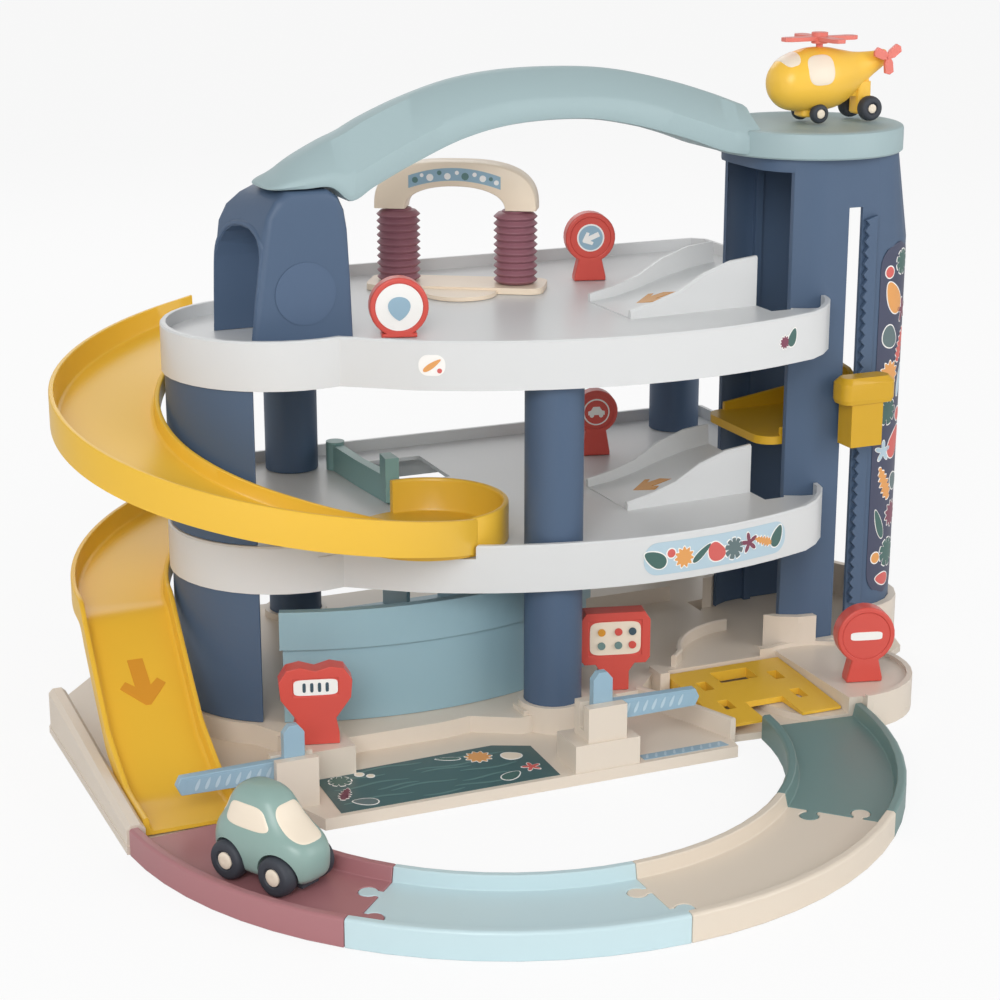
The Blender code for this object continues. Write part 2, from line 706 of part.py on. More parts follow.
def ground_ramp():
    """Curved skirt, floor insert and straight lane that drops from the first deck to the base."""
    centre = (-22, 343)
    body = prism("ground_ramp", sector(centre, 265, 268, 248, 300, 20), RAISED_TOP + GAP, SKIRT_TOP - 1)
    lip = prism("lip", sector(centre, 263.5, 270.5, 247.6, 300.4, 20), SKIRT_TOP - 27, SKIRT_TOP)
    insert = arc(centre, 266.5, 248.5, 299.5, 16) + [(148, 150), (148, 296), (-8, 296), (-8, 236), (-60, 200)]
    join(body, prism("insert", insert, RAISED_TOP + GAP, RAISED_TOP + 3), lip)
    rings = []
    for x, z in ((0, 124), (20, 113), (50, 92), (80, 70), (110, 51), (130, 41), (147, 36)):
        rings.append(channel((x, 268), (0, -1), z + DECK_FLOOR - 137, 28, (10, 10), 2.5, 3))
    join(body, loft("lane", rings))
    for x, z in ((24, 108), (70, 75), (120, 44)):
        join(body, box("rib", (x, x + 3), (242, 294), (RAISED_TOP + 2, z + DECK_FLOOR - 137)))
    return clean(body, "ground_blue")


def turned(points, centre, angle):
    """Turn local plan points by angle and move them to centre."""
    c = math.cos(math.radians(angle))
    s = math.sin(math.radians(angle))
    return [(centre[0] + x * c - y * s, centre[1] + x * s + y * c) for x, y in points]


def bow(half, foot, rise, power, steps):
    """Curve from one foot over the crown to the other, as offset and height."""
    curve = []
    for i in range(steps + 1):
        x = -math.cos(math.pi * i / steps)
        curve.append((half * x, foot + rise * (1 - abs(x) ** power) ** (1 / power)))
    return curve


def wash_spot(side):
    """Plan place of one wash roller."""
    return turned([(side * WASH_SPAN, 0)], WASH_C, WASH_TURN)[0]


def wash_base():
    """Foot plate of the car wash with two roller pins."""
    floor = UPPER_FLOOR + GAP
    plan = turned(round_box((0, 0), (66, 22), 10, 4), WASH_C, WASH_TURN)
    body = prism("wash_base", plan, floor, floor + 4.7)
    join(body, cylinder("puddle", turned([(6, -26)], WASH_C, WASH_TURN)[0], 27, floor, floor + 3, steps=32))
    for side in (-1, 1):
        join(body, cylinder("pin", wash_spot(side), 3, floor + 2, UPPER_FLOOR + 64, steps=16))
    return clean(body, "wash_cream")


def wash_roller(name, side):
    """Ribbed roller that spins on its pin."""
    at = wash_spot(side)
    foot = UPPER_FLOOR + 5.6
    profile = [(13.5, foot)]
    for i in range(ROLLER_RIBS):
        base = foot + i * 5.2
        profile += [(ROLLER_R, base + 2.2), (13.5, base + 5.0)]
    profile += [(10.0, foot + 52.4), (10.0, foot + 53.8), (3.3, foot + 53.8), (3.3, foot)]
    rings = []
    for i in range(ROLLER_SEG):
        a = 2 * math.pi * i / ROLLER_SEG
        rings.append([(at[0] + r * math.cos(a), at[1] + r * math.sin(a), h) for r, h in profile])
    body = loft(name, rings, "wash_mauve", closed=True)
    return set_origin(body, (at[0], at[1], foot))


def wash_arch():
    """Arch across the two rollers."""
    outer = bow(60, 60, 35, 2.8, 18)
    inner = bow(37, 60, 17, 2.2, 14)[::-1]
    rings = []
    for y in (-11, 11):
        ring = []
        for x, z in outer + inner:
            px, py = turned([(x, y)], WASH_C, WASH_TURN)[0]
            ring.append((px, py, UPPER_FLOOR + z))
        rings.append(ring)
    body = loft("wash_arch", rings)
    for side in (-1, 1):
        cut(body, cylinder("hole", wash_spot(side), 3.3, UPPER_FLOOR + 54, UPPER_FLOOR + 64.4, steps=16))
    return clean(body, "wash_cream")


def sign(name, at, foot_z, head_z, radius, stem, thick, turn=-15.0):
    """Round sign on a flat stem, its face sunk a little."""
    c = math.cos(math.radians(turn))
    s = math.sin(math.radians(turn))

    def place(x, y, z):
        return (at[0] + x * c - y * s, at[1] + x * s + y * c, z)

    head = []
    start = math.degrees(math.asin(stem / radius)) - 90
    sweep = 360 - 2 * (start + 90)
    for i in range(27):
        a = math.radians(start + sweep * i / 26)
        head.append((radius * math.cos(a), head_z + radius * math.sin(a)))
    outline = head + [(-stem - 3, foot_z + 3), (-stem - 3, foot_z), (stem + 3, foot_z), (stem + 3, foot_z + 3)]
    rings = []
    for inset, y in ((0.8, -thick / 2), (0, -thick / 2 + 1), (0, thick / 2 - 1), (0.8, thick / 2)):
        moved = offset(outline, -inset) if inset else outline
        rings.append([place(x, y, max(z, foot_z)) for x, z in moved])
    body = loft(name, rings)
    face = radius - 3.5
    disc = []
    for y in (-thick / 2 - 2, -thick / 2 + 0.8):
        ring = []
        for i in range(24):
            a = 2 * math.pi * i / 24
            ring.append(place(face * math.cos(a), y, head_z + face * math.sin(a)))
        disc.append(ring)
    cut(body, loft("disc", disc))
    return clean(body, "sign_red")


def board(name, at, outline, thick, window, turn=-15.0):
    """Upright board cut from an outline, with a sunk panel."""
    c = math.cos(math.radians(turn))
    s = math.sin(math.radians(turn))

    def place(x, y, z):
        return (at[0] + x * c - y * s, at[1] + x * s + y * c, z)

    rings = [[place(x, y, z) for x, z in outline] for y in (-thick / 2, thick / 2)]
    body = loft(name, rings)
    x0, x1, z0, z1 = window
    corners = [(x0, z0), (x1, z0), (x1, z1), (x0, z1)]
    pan = loft("pan", [[place(x, y, z) for x, z in corners] for y in (-thick / 2 - 2, -thick / 2 + 0.8)])
    cut(body, pan)
    return clean(body, "sign_red")


def signs():
    """All signs, the parking meter and the fuel pump."""
    top = UPPER_FLOOR + GAP
    sign("sign_pin", (-28, 115), top, 297, 20, 9, 12)
    sign("sign_arrow", (176, 245), top, 309, 19, 9, 12)
    sign("sign_parking", (185, 250), DECK_FLOOR + GAP, 172, 17, 8, 12)
    sign("stop_sign", (279, 4), 22 + GAP, 57, 21, 10, 13)
    meter = [(-15, 28.3), (15, 28.3), (15, 36), (13, 46), (23, 60), (24, 72), (19, 80), (10, 82), (0, 79), (-10, 82)]
    meter += [(-19, 80), (-24, 72), (-23, 60), (-13, 46), (-15, 36)]
    board("parking_meter", (-119, 38), meter, 14, (-15, 15, 62, 74))
    pump = [(-10, 20.3), (10, 20.3), (10, 34), (14, 40), (22, 40), (25, 44), (25, 72), (21, 78), (-21, 78), (-25, 72)]
    pump += [(-25, 44), (-22, 40), (-14, 40), (-10, 34)]
    board("fuel_pump", (112, 66), pump, 14, (-19, 19, 46, 72))


def barrier(name, pivot, reach, tab_top):
    """Barrier arm with push tab and pin; reach is the signed arm length."""
    x, y, z = pivot
    way = 1 if reach > 0 else -1
    arm = [(x - way * 6, z - 7), (x + reach, z - 6), (x + reach + way * 3, z), (x + reach, z + 6), (x - way * 6, z + 7)]
    body = loft(name, [[(px, py, pz) for px, pz in arm] for py in (y - 3, y + 3)])
    tab = [(x - 7, z), (x + 7, z), (x + 7, tab_top - 5), (x + 3, tab_top), (x - 3, tab_top), (x - 7, tab_top - 5)]
    join(
        body,
        loft("tab", [[(px, py, pz) for px, pz in tab] for py in (y - 3, y + 3)]),
        bar("pin", (x, y - 6.2, z), (x, y + 6.2, z), 3, steps=16),
    )
    clean(body, "barrier_blue")
    return set_origin(body, pivot)


def service_plate():
    """Slotted plate that tips on a pin at its back edge."""
    side = [(-14, 10.6), (60, 10.6), (70, 11.2), (77, 12.2), (77, 18), (74, 19), (40, 17), (-8, 13.4), (-14, 12.6)]
    body = loft("service_plate", [[(x, y, z) for y, z in side] for x in (158.8, 251.2)])
    cut(
        body,
        box("slot_a", (190, 220), (-20, 14), (0, 40)),
        box("slot_b", (190, 220), (48, 66), (0, 40)),
        box("slot_c", (172, 180), (8, 22), (0, 40)),
        box("slot_d", (230, 238), (8, 22), (0, 40)),
        box("slot_e", (172, 180), (40, 54), (0, 40)),
        box("slot_f", (230, 238), (40, 54), (0, 40)),
    )
    join(body, bar("pin", (152.5, *PLATE_PIVOT), (257.5, *PLATE_PIVOT), 2.5, steps=16))
    clean(body, "ramp_yellow")
    return set_origin(body, (205, *PLATE_PIVOT))


def diverter_gate():
    """Swinging bar on the lower deck."""
    z0 = DECK_FLOOR + GAP
    along = [(-18, 290), (-16, 240), (-12, 190), (-9, 180), (-4, 180), (-3, 190), (-9, 240), (-10, 290)]
    body = prism("diverter_gate", along, z0, 157)
    join(
        body,
        prism("tab", [(-14, 182), (-4, 181), (-4, 198), (-12, 199)], z0 + 2, 172),
        cylinder("hub", GATE_PIVOT, 7, z0, 159, steps=20),
        cylinder("pin", GATE_PIVOT, 3, DECK_FLOOR - 2.5, z0 + 4, steps=16),
    )
    clean(body, "gate_green")
    return set_origin(body, (*GATE_PIVOT, z0))


def ring_section(a):
    """Cross-section loop of the ring track at an angle in degrees."""
    c = math.cos(math.radians(a))
    s = math.sin(math.radians(a))
    out = RING_OUT
    inn = RING_IN
    low = RING_FLOOR - RING_PLATE
    section = [
        (out, 0), (out, RING_TOP - 1.2), (out - 1.5, RING_TOP), (out - RING_WALL + 2, RING_TOP),
        (out - RING_WALL, RING_FLOOR), (inn + RING_WALL, RING_FLOOR), (inn + RING_WALL - 2, RING_TOP),
        (inn + 1.5, RING_TOP), (inn, RING_TOP - 1.2), (inn, 0), (inn + 3, 0), (inn + 3, low), (out - 3, low),
        (out - 3, 0),
    ]
    return [(r * c, r * s, z) for r, z in section]


def knob(border, radius, way, grow=0.0):
    """Round joint tongue on a border, growing along way (+1 or -1 in angle)."""
    low = RING_FLOOR - RING_PLATE
    a = math.radians(border)
    tangent = (-math.sin(a) * way, math.cos(a) * way)
    at = (radius * math.cos(a), radius * math.sin(a))
    centre = (at[0] + tangent[0] * 8, at[1] + tangent[1] * 8)
    side = (math.cos(a), math.sin(a))
    neck = []
    for t, w in ((-1.5, -3.2), (8, -3.2), (8, 3.2), (-1.5, 3.2)):
        w = w + (grow if w > 0 else -grow)
        neck.append((at[0] + tangent[0] * t + side[0] * w, at[1] + tangent[1] * t + side[1] * w))
    spread = 1 if grow else 0
    body = cylinder("knob", centre, KNOB_R + grow, low - spread, RING_FLOOR + spread, steps=16)
    join(body, prism("neck", neck, low - spread, RING_FLOOR + spread))
    return body


def track(name, index, shade):
    """One quarter of the ring track with its joint tongues and seats."""
    edges = (RING_START,) + RING_BORDERS + (RING_END,)
    a0 = edges[index] + 0.04
    a1 = edges[index + 1] - 0.04
    steps = 8
    body = loft(name, [ring_section(a0 + (a1 - a0) * i / steps) for i in range(steps + 1)])
    if index > 0:
        join(body, knob(edges[index], RING_IN + KNOB_INSET, -1))
        cut(body, knob(edges[index], RING_OUT - KNOB_INSET, 1, GAP))
    if index < 3:
        join(body, knob(edges[index + 1], RING_OUT - KNOB_INSET, 1))
        cut(body, knob(edges[index + 1], RING_IN + KNOB_INSET, -1, GAP))
    return clean(body, shade)


class Vehicle:
    """Local frame of a toy vehicle: x forward, y to its left, z up from world zero."""

    def __init__(self, at, heading):
        self.at = at
        self.c = math.cos(math.radians(heading))
        self.s = math.sin(math.radians(heading))

    def place(self, x, y, z):
        """World point of a local point."""
        return (self.at[0] + x * self.c - y * self.s, self.at[1] + x * self.s + y * self.c, z)

    def loft(self, name, rings, shade=None):
        """Loft of local loops."""
        return loft(name, [[self.place(*p) for p in ring] for ring in rings], shade)

    def box(self, name, x, y, z, shade=None):
        """Local block."""
        rings = []
        for h in z:
            rings.append([(x[0], y[0], h), (x[1], y[0], h), (x[1], y[1], h), (x[0], y[1], h)])
        return self.loft(name, rings, shade)

    def bar(self, name, a, b, radius, shade=None, steps=14):
        """Local round bar."""
        return bar(name, self.place(*a), self.place(*b), radius, shade, steps)

    def wheel(self, name, x, side, z, radius, y0, y1):
        """Tyre with soft shoulders and an axle bore."""
        profile = [(1.8, y0), (radius - 2, y0), (radius, y0 + 1.5), (radius, y1 - 2), (radius - 3, y1), (1.8, y1)]
        rings = []
        for i in range(WHEEL_SEG):
            a = 2 * math.pi * i / WHEEL_SEG
            ring = [(x + r * math.cos(a), side * y, z + r * math.sin(a)) for r, y in profile]
            rings.append([self.place(*p) for p in ring])
        body = loft(name, rings, "tyre_grey", closed=True)
        return set_origin(body, self.place(x, 0, z))

    def axle(self, name, x, z, y):
        """Steel axle across the vehicle."""
        body = self.bar(name, (x, -y, z), (x, y, z), 1.5, steps=12)
        finish(body, "axle_steel")
        return set_origin(body, self.place(x, 0, z))


def car():
    """Toy car on the burgundy track."""
    v = Vehicle(CAR_AT, CAR_TURN)
    rings = []
    for z, hx, hy, cx, corner in (
        (17, 33, 15, 0, 8), (20, 37, 18, 0, 12), (30, 38, 19.5, 0, 14), (40, 37, 19, 0, 14), (46, 31, 17.5, -3, 13),
        (52, 23, 16, -5, 12), (60, 19, 14.5, -6, 11), (66, 14, 11, -7, 9), (69, 7, 6, -8, 5),
    ):
        rings.append([(x, y, z) for x, y in round_box((cx, 0), (hx, hy), corner, 3)])
    body = v.loft("car_body", rings)
    for x in (-CAR_AXLE_X, CAR_AXLE_X):
        for side in (-1, 1):
            cut(body, v.bar("arch", (x, side * 9, CAR_AXLE_Z), (x, side * 26, CAR_AXLE_Z), 13.8, steps=24))
        cut(
            body,
            v.bar("way", (x, -12, CAR_AXLE_Z), (x, 12, CAR_AXLE_Z), 3.5, steps=12),
            v.box("lug_space", (x - 4, x + 4), (-8, 8), (10, 27)),
        )
    cut(body, v.box("window_space", (-16.3, 8.3), (-30, 30), (46.7, 59.3)))
    clean(body, "car_green")
    window = []
    for z, hy in ((47, 17.2), (52, 16), (59, 14.6)):
        window.append([(-16, -hy, z), (8, -hy, z), (8, hy, z), (-16, hy, z)])
    v.loft("car_window", window, "cream")
    chassis = v.box("car_chassis", (-30, 30), (-7, 7), (13, 16.7))
    for x in (-CAR_AXLE_X, CAR_AXLE_X):
        join(chassis, v.box("lug", (x - 3.4, x + 3.4), (-6.4, 6.4), (14, 26)))
        cut(chassis, v.bar("bearing", (x, -10, CAR_AXLE_Z), (x, 10, CAR_AXLE_Z), 1.9, steps=12))
    clean(chassis, "tyre_grey")
    for end, x in (("rear", -CAR_AXLE_X), ("front", CAR_AXLE_X)):
        v.axle("car_axle_" + end, x, CAR_AXLE_Z, 20)
        for side, tag in ((1, "left"), (-1, "right")):
            v.wheel("car_wheel_" + end + "_" + tag, x, side, CAR_AXLE_Z, CAR_WHEEL_R, 10.2, 21.5)


def helicopter():
    """Toy helicopter on the landing pad."""
    v = Vehicle(HELI_AT, HELI_TURN)
    rings = []
    for x, hy, z0, z1, n in (
        (46, 5, 424, 433, 0), (43, 12, 416, 441, 0), (34, 17.5, 410, 448, 0), (16, 20, 408, 453, 0),
        (0, 19, 409, 453, 0), (-14, 14, 413, 450, 0), (-26, 9, 421, 448, 0), (-40, 5, 432, 449, 0),
        (-50, 3.5, 440, 450, 0),
    ):
        ring = []
        for i in range(16):
            a = 2 * math.pi * i / 16
            mid = (z0 + z1) / 2
            ring.append((x, hy * math.cos(a), mid + (z1 - z0) / 2 * math.sin(a)))
        rings.append(ring)
    body = v.loft("heli_body", rings)
    join(body, v.box("tail", (-52, -16), (-5, 5), (417, 430)), v.box("sled", (2, 22), (-8, 8), (404.5, 414)))
    join(body, v.box("rear_lug", (-34, -26), (-7, 7), (404.8, 424)))
    cut(
        body,
        v.bar("rear_bearing", (HELI_REAR[0], -16, HELI_REAR[1]), (HELI_REAR[0], 16, HELI_REAR[1]), 1.9, steps=12),
        v.bar("front_bearing", (HELI_FRONT[0], -30, HELI_FRONT[1]), (HELI_FRONT[0], 30, HELI_FRONT[1]), 1.9, steps=12),
        v.box("window_space", (8.7, 31.3), (-30, 30), (431.7, 443.3)),
        v.box("front_well_a", (3, 21), (8.6, 30), (396, 418)),
        v.box("front_well_b", (3, 21), (-30, -8.6), (396, 418)),
        v.bar("mast_hole", (6, 0, 440), (6, 0, 470), 2.8, steps=12),
        v.bar("tail_hole", (-46, -1.4, 445), (-46, 14, 445), 1.6, steps=12),
    )
    clean(body, "heli_yellow")
    window = []
    for z, hy in ((432, 18.6), (437, 18), (443, 15.5)):
        window.append([(9, -hy, z), (31, -hy, z), (31, hy, z), (9, hy, z)])
    v.loft("heli_window", window, "cream")
    v.axle("heli_axle_rear", HELI_REAR[0], HELI_REAR[1], 17)
    v.axle("heli_axle_front", HELI_FRONT[0], HELI_FRONT[1], 16)
    for side, tag in ((1, "left"), (-1, "right")):
        v.wheel("heli_wheel_rear_" + tag, HELI_REAR[0], side, HELI_REAR[1], 9, 8.5, 18)
        v.wheel("heli_wheel_front_" + tag, HELI_FRONT[0], side, HELI_FRONT[1], 7, 9.2, 16.5)
    rotor = v.bar("heli_main_rotor", (6, 0, 441), (6, 0, 463), 2.5, steps=14)
    for x, y in ((1, 0), (0, 1)):
        blade = []
        for t, w in ((-30, 3), (-26, 5.5), (0, 4), (26, 5.5), (30, 3)):
            blade.append((t, w))
        loop = [(t, -w) for t, w in blade] + [(t, w) for t, w in reversed(blade)]
        flat = [[(6 + t * x - w * y, t * y + w * x, z) for t, w in loop] for z in (458, 461)]
        join(rotor, v.loft("blade", flat))
    join(rotor, v.bar("hub", (6, 0, 456), (6, 0, 464), 6, steps=16))
    clean(rotor, "rotor_coral")
    set_origin(rotor, v.place(6, 0, 456))
    tail = v.bar("heli_tail_rotor", (-46, -1, 445), (-46, 11.6, 445), 1.3, steps=12)
    for k in range(3):
        a = 2 * math.pi * k / 3 + 0.4
        ca, sa = math.cos(a), math.sin(a)
        loop = [(0, -1.5), (4, -3.4), (11, -3.4), (12.5, 0), (11, 3.4), (4, 3.4), (0, 1.5)]
        flat = [[(-46 + p * ca - q * sa, y, 445 + p * sa + q * ca) for p, q in loop] for y in (8.4, 10.8)]
        join(tail, v.loft("blade", flat))
    clean(tail, "rotor_coral")
    set_origin(tail, v.place(-46, 9, 445))


def main():
    """Build every piece."""
    for obj in list(bpy.data.objects):
        bpy.data.objects.remove(obj, do_unlink=True)
    top = DECK_FLOOR - DECK_PLATE - GAP
    up = DECK_PITCH
    base_plate()
    shell("left_tower_lower_shell", RAISED_TOP + GAP, DECK_BOTTOM - GAP)
    shell("left_tower_upper_shell", DECK_RIM + GAP, DECK_BOTTOM + up - GAP)
    tower_cap()
    deck("deck_level_1", 1)
    deck("deck_level_2", 2)
    for name, centre in (("left_column", LEFT_COLUMN), ("front_post", FRONT_POST), ("back_post", BACK_POST)):
        post(name + "_lower", centre, RAISED_TOP + GAP, top)
        post(name + "_upper", centre, DECK_FLOOR + GAP, top + up)
    lift_tower()
    rack_strip()
    handle_arch()
    lift_platform()
    lift_grip()
    lift_pawl()
    ramp_upper()
    ramp_lower()
    ground_ramp()
    wash_base()
    wash_arch()
    wash_roller("wash_roller_left", -1)
    wash_roller("wash_roller_right", 1)
    signs()
    barrier("barrier_left", LEFT_PIVOT, -74, 62)
    barrier("barrier_right", RIGHT_PIVOT, 69, 72)
    service_plate()
    diverter_gate()
    for i, shade in enumerate(("burgundy", "blue", "beige", "green")):
        track("track_" + shade, i, "track_" + shade)
    car()
    helicopter()


main()
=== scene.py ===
"""Looks of the toy garage: glossy moulded plastic pieces, printed panels, lights and camera."""

import json
import logging
import math
from contextlib import contextmanager
from dataclasses import dataclass
from enum import Enum
from typing import Any, Callable, Iterator, Optional, Sequence

import bmesh
import bpy
import numpy as np
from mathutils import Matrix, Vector


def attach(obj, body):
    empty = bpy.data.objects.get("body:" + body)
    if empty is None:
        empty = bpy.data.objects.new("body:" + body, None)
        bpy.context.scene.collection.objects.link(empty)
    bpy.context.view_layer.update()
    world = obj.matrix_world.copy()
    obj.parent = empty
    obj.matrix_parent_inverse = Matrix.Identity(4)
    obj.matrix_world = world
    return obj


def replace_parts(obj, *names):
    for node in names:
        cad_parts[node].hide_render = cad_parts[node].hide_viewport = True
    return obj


LOG = logging.getLogger("toy_garage")
MM = 0.001
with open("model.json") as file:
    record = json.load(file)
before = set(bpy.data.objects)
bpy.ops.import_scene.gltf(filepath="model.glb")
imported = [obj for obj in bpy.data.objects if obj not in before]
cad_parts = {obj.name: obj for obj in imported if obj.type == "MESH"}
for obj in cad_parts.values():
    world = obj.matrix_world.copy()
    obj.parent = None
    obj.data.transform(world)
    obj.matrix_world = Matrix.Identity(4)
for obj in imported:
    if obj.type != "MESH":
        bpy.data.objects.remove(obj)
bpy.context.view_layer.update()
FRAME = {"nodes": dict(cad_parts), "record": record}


def linear(colour: Sequence[float]) -> tuple[float, float, float, float]:
    """Turn a 0-255 display colour into linear values with alpha.

    Args:
        colour: Red, green and blue from 0 to 255.

    Returns:
        Linear red, green, blue and alpha.
    """
    v = np.asarray(colour, float) / 255.0
    lin = np.where(v <= 0.04045, v / 12.92, ((v + 0.055) / 1.055) ** 2.4)
    return (float(lin[0]), float(lin[1]), float(lin[2]), 1.0)


class Shader:
    """Node tree of one material, with one method for every node."""

    def __init__(self, name: str) -> None:
        """Start an empty tree with its output and main shader."""
        self.material = bpy.data.materials.new(name)
        self.material.use_nodes = True
        self.tree = self.material.node_tree
        self.main = self.tree.nodes["Principled BSDF"]
        self.coords = self.node("TexCoord").out("Object")

    def node(self, kind: str, settings: Optional[dict[str, Any]] = None, **values: Any) -> "Node":
        """Add a node.

        Args:
            kind: Type name without its ShaderNode prefix.
            settings: Properties that are set before the sockets.
            **values: Socket values or links; underscores stand for spaces, in0 for the first.

        Returns:
            The new node.
        """
        made = self.tree.nodes.new("ShaderNode" + kind)
        for key, value in (settings or {}).items():
            setattr(made, key, value)
        for key, value in values.items():
            numbered = key[:2] == "in" and key[2:].isdigit()
            self.feed(made.inputs[int(key[2:]) if numbered else key.replace("_", " ")], value)
        return Node(self, made)

    def feed(self, socket: Any, value: Any) -> None:
        """Link a value to a socket, or write it there."""
        if isinstance(value, Value):
            self.tree.links.new(value.socket, socket)
        else:
            socket.default_value = value

    def mix(self, mask: Any, low: Any, high: Any) -> "Value":
        """Mix two colours by a mask.

        Args:
            mask: Factor from 0 to 1.
            low: Colour at 0.
            high: Colour at 1.

        Returns:
            The mixed colour.
        """
        made = self.tree.nodes.new("ShaderNodeMix")
        made.data_type = "RGBA"
        self.feed(made.inputs[0], mask)
        self.feed(made.inputs[6], low)
        self.feed(made.inputs[7], high)
        return Value(self, made.outputs[2])

    def noise(self, scale: float, detail: float, stretch: Optional[Sequence[float]] = None) -> "Value":
        """Cloudy noise on object coordinates, around 0.5, stretched along the axes if asked."""
        source = self.coords
        if stretch is not None:
            source = self.node("Mapping", in0=self.coords, Scale=tuple(stretch)).out("Vector")
        return self.node("TexNoise", Vector=source, Scale=scale, Detail=detail).out("Fac")

    def bump(self, height: "Value", strength: float, distance: float) -> None:
        """Feed a height to the main shader's normal."""
        made = self.node("Bump", Strength=strength, Distance=distance, Height=height)
        self.feed(self.main.inputs["Normal"], made.out("Normal"))


class Node:
    """A node whose outputs are read as values."""

    def __init__(self, shader: Shader, node: Any) -> None:
        """Keep the node and its tree."""
        self.shader = shader
        self.raw = node

    def out(self, name: Any = 0) -> "Value":
        """Output by name or number."""
        return Value(self.shader, self.raw.outputs[name])


class Value:
    """Socket that takes part in expressions; each operator adds a Math node."""

    def __init__(self, shader: Shader, socket: Any) -> None:
        """Keep the socket and its tree."""
        self.shader = shader
        self.socket = socket

    def _with(self, how: str, other: Any) -> "Value":
        """Math node on this value and another one."""
        return self.shader.node("Math", {"operation": how}, in0=self, in1=other).out()

    def __add__(self, other: Any) -> "Value":
        """Sum."""
        return self._with("ADD", other)

    def __mul__(self, other: Any) -> "Value":
        """Product."""
        return self._with("MULTIPLY", other)


FLOW_SCALE, TINT_SCALE, SCUFF_SCALE, GRAIN_SCALE = 7.0, 26.0, 42.0, 240.0
DEEPER, PALER = 0.99, 1.006
SPECULAR = 0.45


@dataclass(frozen=True)
class Plastic:
    """Moulded plastic: even colour, faint flow marks and scuffs, and a fine grain where it is matt."""

    name: str
    colour: tuple[int, int, int]
    roughness: float = 0.3
    grain: float = 0.0
    metallic: float = 0.0

    def make(self) -> bpy.types.Material:
        """Return the material, built on first use."""
        label = "look_" + self.name
        found = bpy.data.materials.get(label)
        if found:
            return found
        shader = Shader(label)
        flow = shader.noise(FLOW_SCALE, 2.0)
        tint = shader.noise(TINT_SCALE, 1.0)
        colour = linear(self.colour)[:3]
        deep = tuple(c * DEEPER for c in colour) + (1.0,)
        pale = tuple(min(1.0, c * PALER) for c in colour) + (1.0,)
        sockets = shader.main.inputs
        shader.feed(sockets["Base Color"], shader.mix(flow * 0.7 + tint * 0.3, deep, pale))
        scuff = shader.noise(SCUFF_SCALE, 2.0, (1.0, 1.0, 0.5))
        shader.feed(sockets["Roughness"], scuff * 0.02 + flow * 0.03 + (self.roughness - 0.025))
        sockets["Metallic"].default_value = self.metallic
        sockets["Specular IOR Level"].default_value = SPECULAR
        if self.grain > 0:
            shader.bump(shader.noise(GRAIN_SCALE, 1.0), self.grain, 0.0002)
        return shader.material


class Finish(Enum):
    """Finishes of the garage, the car and the helicopter."""

    BASE = Plastic("base_beige", (223, 211, 196), 0.36)
    DECK = Plastic("deck_white", (216, 217, 217), 0.32)
    TOWER = Plastic("tower_blue", (75, 95, 121), 0.5, 0.35)
    HANDLE = Plastic("handle_teal", (160, 181, 184), 0.5, 0.35)
    RAMP = Plastic("ramp_yellow", (235, 188, 62), 0.32)
    LIFT = Plastic("lift_mustard", (208, 162, 34), 0.34)
    GROUND = Plastic("ground_blue", (146, 177, 188), 0.32)
    SIGN = Plastic("sign_red", (212, 84, 74), 0.32)
    ROLLER = Plastic("wash_mauve", (146, 97, 108), 0.42)
    WASH = Plastic("wash_cream", (240, 222, 199), 0.34)
    BURGUNDY = Plastic("track_burgundy", (172, 117, 121), 0.36)
    GREEN = Plastic("track_green", (113, 141, 138), 0.36)
    PALE = Plastic("track_blue", (196, 219, 224), 0.34)
    SAND = Plastic("track_beige", (224, 211, 194), 0.36)
    BARRIER = Plastic("barrier_blue", (150, 180, 198), 0.34)
    GATE = Plastic("gate_green", (130, 165, 162), 0.36)
    CAR = Plastic("car_green", (143, 170, 163), 0.32)
    CREAM = Plastic("cream", (240, 226, 206), 0.34)
    TYRE = Plastic("tyre_grey", (58, 62, 70), 0.6, 0.5)
    HELI = Plastic("heli_yellow", (247, 197, 72), 0.32)
    ROTOR = Plastic("rotor_coral", (228, 124, 112), 0.36)
    STEEL = Plastic("axle_steel", (172, 174, 178), 0.34, 0.0, 1.0)
    # Arrow colours darker than the ramps: painted shade of the engraved arrows; the amber one also colours a
    # printed pump key.
    MUSTARD_MARK = Plastic("mark_mustard", (206, 142, 52), 0.4)
    YELLOW_MARK = Plastic("mark_amber", (216, 150, 48), 0.4)
    CAP_DISC = Plastic("cap_disc", (79, 99, 126), 0.45, 0.2)
    WHITE_MARK = Plastic("mark_white", (244, 242, 238), 0.35)
    DARK_MARK = Plastic("mark_slate", (62, 84, 96), 0.4)
    LEAF = Plastic("motif_leaf", (70, 104, 98), 0.42)
    PLUM = Plastic("motif_plum", (126, 66, 86), 0.42)
    CORAL = Plastic("motif_coral", (212, 98, 92), 0.42)
    ORANGE = Plastic("motif_orange", (226, 160, 92), 0.42)
    SLATE = Plastic("motif_slate", (98, 116, 118), 0.42)
    SKY = Plastic("motif_sky", (182, 204, 216), 0.42)
    NIGHT = Plastic("motif_night", (70, 74, 96), 0.45)
    MAT = Plastic("motif_mat", (66, 98, 100), 0.4)
    MAT_LIGHT = Plastic("motif_mat_light", (94, 128, 126), 0.4)


RECORD = FRAME["record"]
FINISH_OF = {f.value.name: f for f in Finish}
BODY_OF = {node: body for body, nodes in RECORD["behaviour"]["bodies"].items() for node in nodes}
SLOT_OF = {s["node"]: s["material_slot"] for s in RECORD["subparts"]}


def link(name: str, mesh: bpy.types.Mesh, finish: Finish, body: str) -> bpy.types.Object:
    """Put a mesh in the scene as a finished piece.

    Args:
        name: Name of the object.
        mesh: Mesh in metres, already in place.
        finish: Finish of the piece.
        body: Body that it rides on.

    Returns:
        The new object.
    """
    obj = bpy.data.objects.new(name, mesh)
    bpy.context.scene.collection.objects.link(obj)
    mesh.materials.clear()
    mesh.materials.append(finish.value.make())
    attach(obj, body)
    return obj


